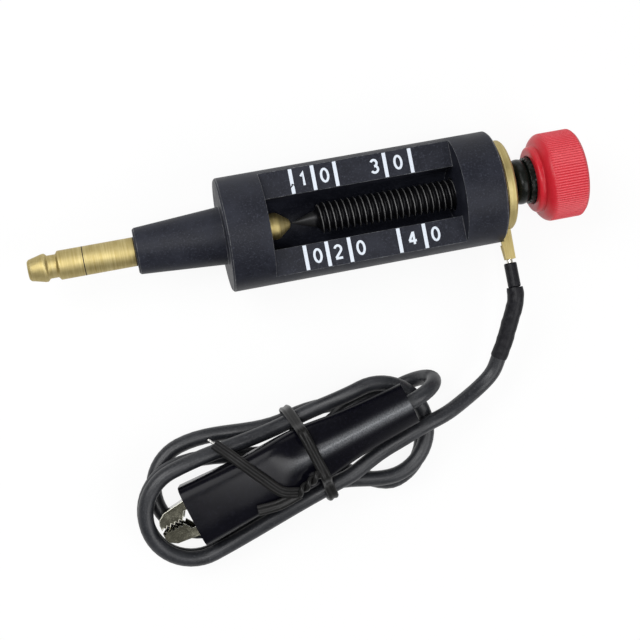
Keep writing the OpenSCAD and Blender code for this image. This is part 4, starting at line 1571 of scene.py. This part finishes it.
@dataclass
class TwistTie:
    """The tie round the hank: a ribbed strip over a wire core, twisted shut, with two tails."""

    bench: Bench
    axes: HankFrame
    width: float = 2.4
    thickness: float = 0.8
    edge_thickness: float = 0.42
    # Middle and width of the ridge along each half, in half widths, and how the strip's edges thin out
    ridge_at: float = 0.52
    ridge_width: float = 0.3
    edge_end: float = 1.02
    edge_slope: float = 6.0
    section_points: int = 25
    band_steps: int = 10
    tail_steps: int = 12
    strand: float = 0.55
    strand_sides: int = 12
    knot_turns: float = 1.5
    knot_steps: int = 48
    core_edge: float = 0.08
    band: tuple[tuple[float, float], ...] = (
        (-6.6, 0.5), (0, 0.5), (9.7, 0.5), (10.9, 1.6), (11.1, 3.6), (10.8, 7.6), (9.8, 10.4), (7.4, 14.9),
        (5.4, 18.5), (0, 18.8), (-5.4, 18.5), (-7.4, 15.2), (-10.5, 12.9), (-11.3, 10.1), (-11.2, 6.2),
        (-10.1, 3.4), (-8.4, 1.4))
    knot: tuple[Point, Point] = ((-1, -4, 19.1), (-7, -5.8, 17.6))
    long_tail: tuple[Point, ...] = (
        (-6.6, -5.7, 17.7), (-9.9, -3.6, 17.7), (-12.4, 1, 17.4), (-14.4, 5, 16.9), (-16, 8.2, 15.5),
        (-18, 12, 13.2))
    short_tail: tuple[Point, ...] = ((-6.6, -5.9, 17.6), (-11.5, -6, 17), (-16.3, -5, 16.5))

    def _section(self, flat: bool) -> Array:
        """Strip's section: thin web with a ridge along each half, which is a bell curve across.

        Args:
            flat: Whether the strip's width lies along the section's first axis.

        Returns:
            Points of the section.
        """
        s = np.linspace(-1, 1, self.section_points)
        ridge = bell(np.abs(s) - self.ridge_at, self.ridge_width)
        web = self.edge_thickness * np.minimum(1, self.edge_slope * (self.edge_end - np.abs(s)))
        half = (web + (self.thickness - self.edge_thickness) * ridge) / 2
        wide = s * self.width / 2
        outline = np.vstack([np.column_stack([wide, -half]), np.column_stack([wide, half])[::-1]])
        return outline if flat else outline[:, ::-1]

    def build(self) -> list[bpy.types.Object]:
        """Build and dress the tie and its bare wire end.

        Returns:
            The tie and the wire end.
        """
        maker = MeshMaker()
        loop = spline(self.band, self.band_steps, closed=True)
        ring = self.axes.row(np.column_stack([np.zeros(len(loop)), loop]))
        along = self.axes.row(np.array([(1.0, 0, 0)])) - self.axes.row(np.zeros((1, 3)))
        maker.grid(swept(ring, self._section(False), along, True), loop=True)
        for turn in (0.0, math.pi):
            strand = self.axes.row(self._strand(turn))
            maker.grid(swept(strand, circle_section(self.strand, self.strand_sides)))
        for tail in (self.long_tail, self.short_tail):
            maker.grid(swept(self.axes.row(spline(tail, self.tail_steps)), self._section(True)))
        strip = maker.build("twist_tie_strip", crease=60)
        tie = self.bench.seat(strip, Body.TESTER, Slot.TIE, Finishes.TIE, "twist_tie")
        core = softened("tie_core", "tie_core_wire", self.core_edge)
        return [tie, self.bench.seat(core, Body.TESTER, Slot.TIE_WIRE, Finishes.WIRE, "tie_core")]

    def _strand(self, turn: float) -> Array:
        """One strand of the knot: a helix about the line between the knot's ends.

        Args:
            turn: Angle at which the strand starts.

        Returns:
            Points of the strand.
        """
        start, end = np.array(self.knot, float)
        way = unit(end - start)
        side = unit(np.cross(way, (0, 0, 1)))
        t = np.linspace(0, 1, self.knot_steps)[:, None]
        a = turn + TAU * self.knot_turns * t
        return start + (end - start) * t + self.strand * (np.cos(a) * side + np.sin(a) * np.cross(side, way))


@dataclass(frozen=True)
class Lamp:
    """A square soft lamp: its place and the length of its side in millimetres, and its power in watts."""

    name: str
    at: Point
    size: float
    power: float


@dataclass
class Studio:
    """Pale floor, soft lamps and the camera over the table."""

    camera_at: Point = (-40.72, -24.44, 309.75)
    right: Point = (0.97385786, -0.18895838, 0.12607774)
    above: Point = (0.18646008, 0.98195936, 0.03143962)
    back: Point = (-0.129744, -0.00710925, 0.99152204)
    view_angle: float = 26.70
    nearest: float = 5.0
    floor_size: float = 3000.0
    floor_colour: Colour = (0.82, 0.82, 0.82)
    floor_share: float = 0.9
    world_strength: float = 0.25
    world_mirrored: float = 0.3
    lamps_aim: Point = (0, -20, 10)
    lamps: tuple[Lamp, ...] = (
        Lamp("key", (-260, 160, 420), 300, 1.65),
        Lamp("top", (-60, -70, 520), 130, 0.75),
        Lamp("fill", (260, -260, 380), 360, 1.3),
        Lamp("edge", (60, 380, 160), 260, 0.3),
    )

    def build(self) -> None:
        """Build the stage, the lamps and the camera."""
        scene = bpy.context.scene
        scene.view_settings.view_transform = "Standard"
        self._camera(scene)
        self._world(scene)
        self._floor()
        for lamp in self.lamps:
            self._light(lamp)

    @staticmethod
    def _placed(at: Array, right: Sequence[float], above: Sequence[float], back: Sequence[float]) -> Matrix:
        """Matrix of a thing at a place, in metres, with its three axes along the given directions."""
        return Matrix.Translation(at) @ Matrix((right, above, back)).transposed().to_4x4()

    def _camera(self, scene: bpy.types.Scene) -> None:
        """Place the camera by its three directions.

        Args:
            scene: The scene that it is the camera of.
        """
        data = bpy.data.cameras.new("camera")
        data.sensor_fit = "HORIZONTAL"
        data.angle = math.radians(self.view_angle)
        data.clip_start = self.nearest * MM
        made = bpy.data.objects.new("camera", data)
        scene.collection.objects.link(made)
        made.matrix_world = self._placed(np.array(self.camera_at) * MM, self.right, self.above, self.back)
        scene.camera = made

    def _world(self, scene: bpy.types.Scene) -> None:
        """Even pale light from all round, which glossy and transmitted rays see as a pale backdrop.

        Args:
            scene: The scene that it lights.
        """
        world = bpy.data.worlds.new("studio")
        world.use_nodes = True
        world.node_tree.nodes.clear()
        nodes = Nodes(world.node_tree)
        rays = nodes.put("ShaderNodeLightPath")
        seen = nodes.maths("MAXIMUM", rays.outputs["Is Glossy Ray"], rays.outputs["Is Transmission Ray"])
        strength = nodes.ramp(seen, 0, 1, self.world_strength, self.world_mirrored)
        shade = nodes.put("ShaderNodeBackground", {"Color": (1, 1, 1, 1), "Strength": strength})
        nodes.put("ShaderNodeOutputWorld", {"Surface": shade.outputs[0]})
        scene.world = world

    def _floor(self) -> None:
        """Pale floor that camera, glossy and transmitted rays see as nearly white, with the shadow kept."""
        half = self.floor_size / 2 * MM
        mesh = bpy.data.meshes.new("floor")
        corners = [(-half, -half, 0), (half, -half, 0), (half, half, 0), (-half, half, 0)]
        mesh.from_pydata(corners, [], [(0, 1, 2, 3)])
        floor = bpy.data.objects.new("floor", mesh)
        bpy.context.scene.collection.objects.link(floor)
        material = bpy.data.materials.new("pale_floor")
        material.use_nodes = True
        material.node_tree.nodes.clear()
        nodes = Nodes(material.node_tree)
        rays = nodes.put("ShaderNodeLightPath")
        seen = nodes.maths("MAXIMUM", rays.outputs["Is Camera Ray"], rays.outputs["Is Glossy Ray"])
        seen = nodes.maths("MAXIMUM", seen, rays.outputs["Is Transmission Ray"])
        share = nodes.maths("MULTIPLY", seen, self.floor_share)
        matte = nodes.put("ShaderNodeBsdfDiffuse", {"Color": rgba(self.floor_colour)})
        white = nodes.put("ShaderNodeEmission", {"Color": (1, 1, 1, 1), "Strength": 1.0})
        both = nodes.put("ShaderNodeMixShader", {0: share, 1: matte.outputs[0], 2: white.outputs[0]})
        nodes.put("ShaderNodeOutputMaterial", {"Surface": both.outputs[0]})
        mesh.materials.append(material)

    def _light(self, lamp: Lamp) -> None:
        """Add a lamp that faces the object.

        Args:
            lamp: The lamp.
        """
        data = bpy.data.lights.new(lamp.name, "AREA")
        data.size = lamp.size * MM
        data.energy = lamp.power
        made = bpy.data.objects.new(lamp.name, data)
        bpy.context.scene.collection.objects.link(made)
        place = np.array(lamp.at) * MM
        back = unit(place - np.array(self.lamps_aim) * MM)
        side = unit(np.cross((0, 1, 0), back))
        made.matrix_world = self._placed(place, side, np.cross(back, side), back)


def main() -> None:
    """Build the tester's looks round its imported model."""
    logging.basicConfig(level=logging.INFO, format="%(message)s")
    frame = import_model()
    Studio().build()
    bench = Bench(frame)
    axes = HankFrame()
    lead = EarthLead(bench, axes)
    tube, shrink, path = lead.build()
    Barrel(bench).build()
    GapScrew(bench).build()
    clip = Clip(bench, axes).build()
    tie = TwistTie(bench, axes).build()
    on_lead = [shrink, *clip, *tie]
    on_lead += [bpy.data.objects[n] for n in ("crimp_sleeve_soft", "bare_conductor", "ground_lug_turned")]
    length = float(run_along(path)[-1])
    path[0] * MM
    path * MM
    LOG.info("lead of %.1f mm", length)


if __name__ == "__main__":
    main()
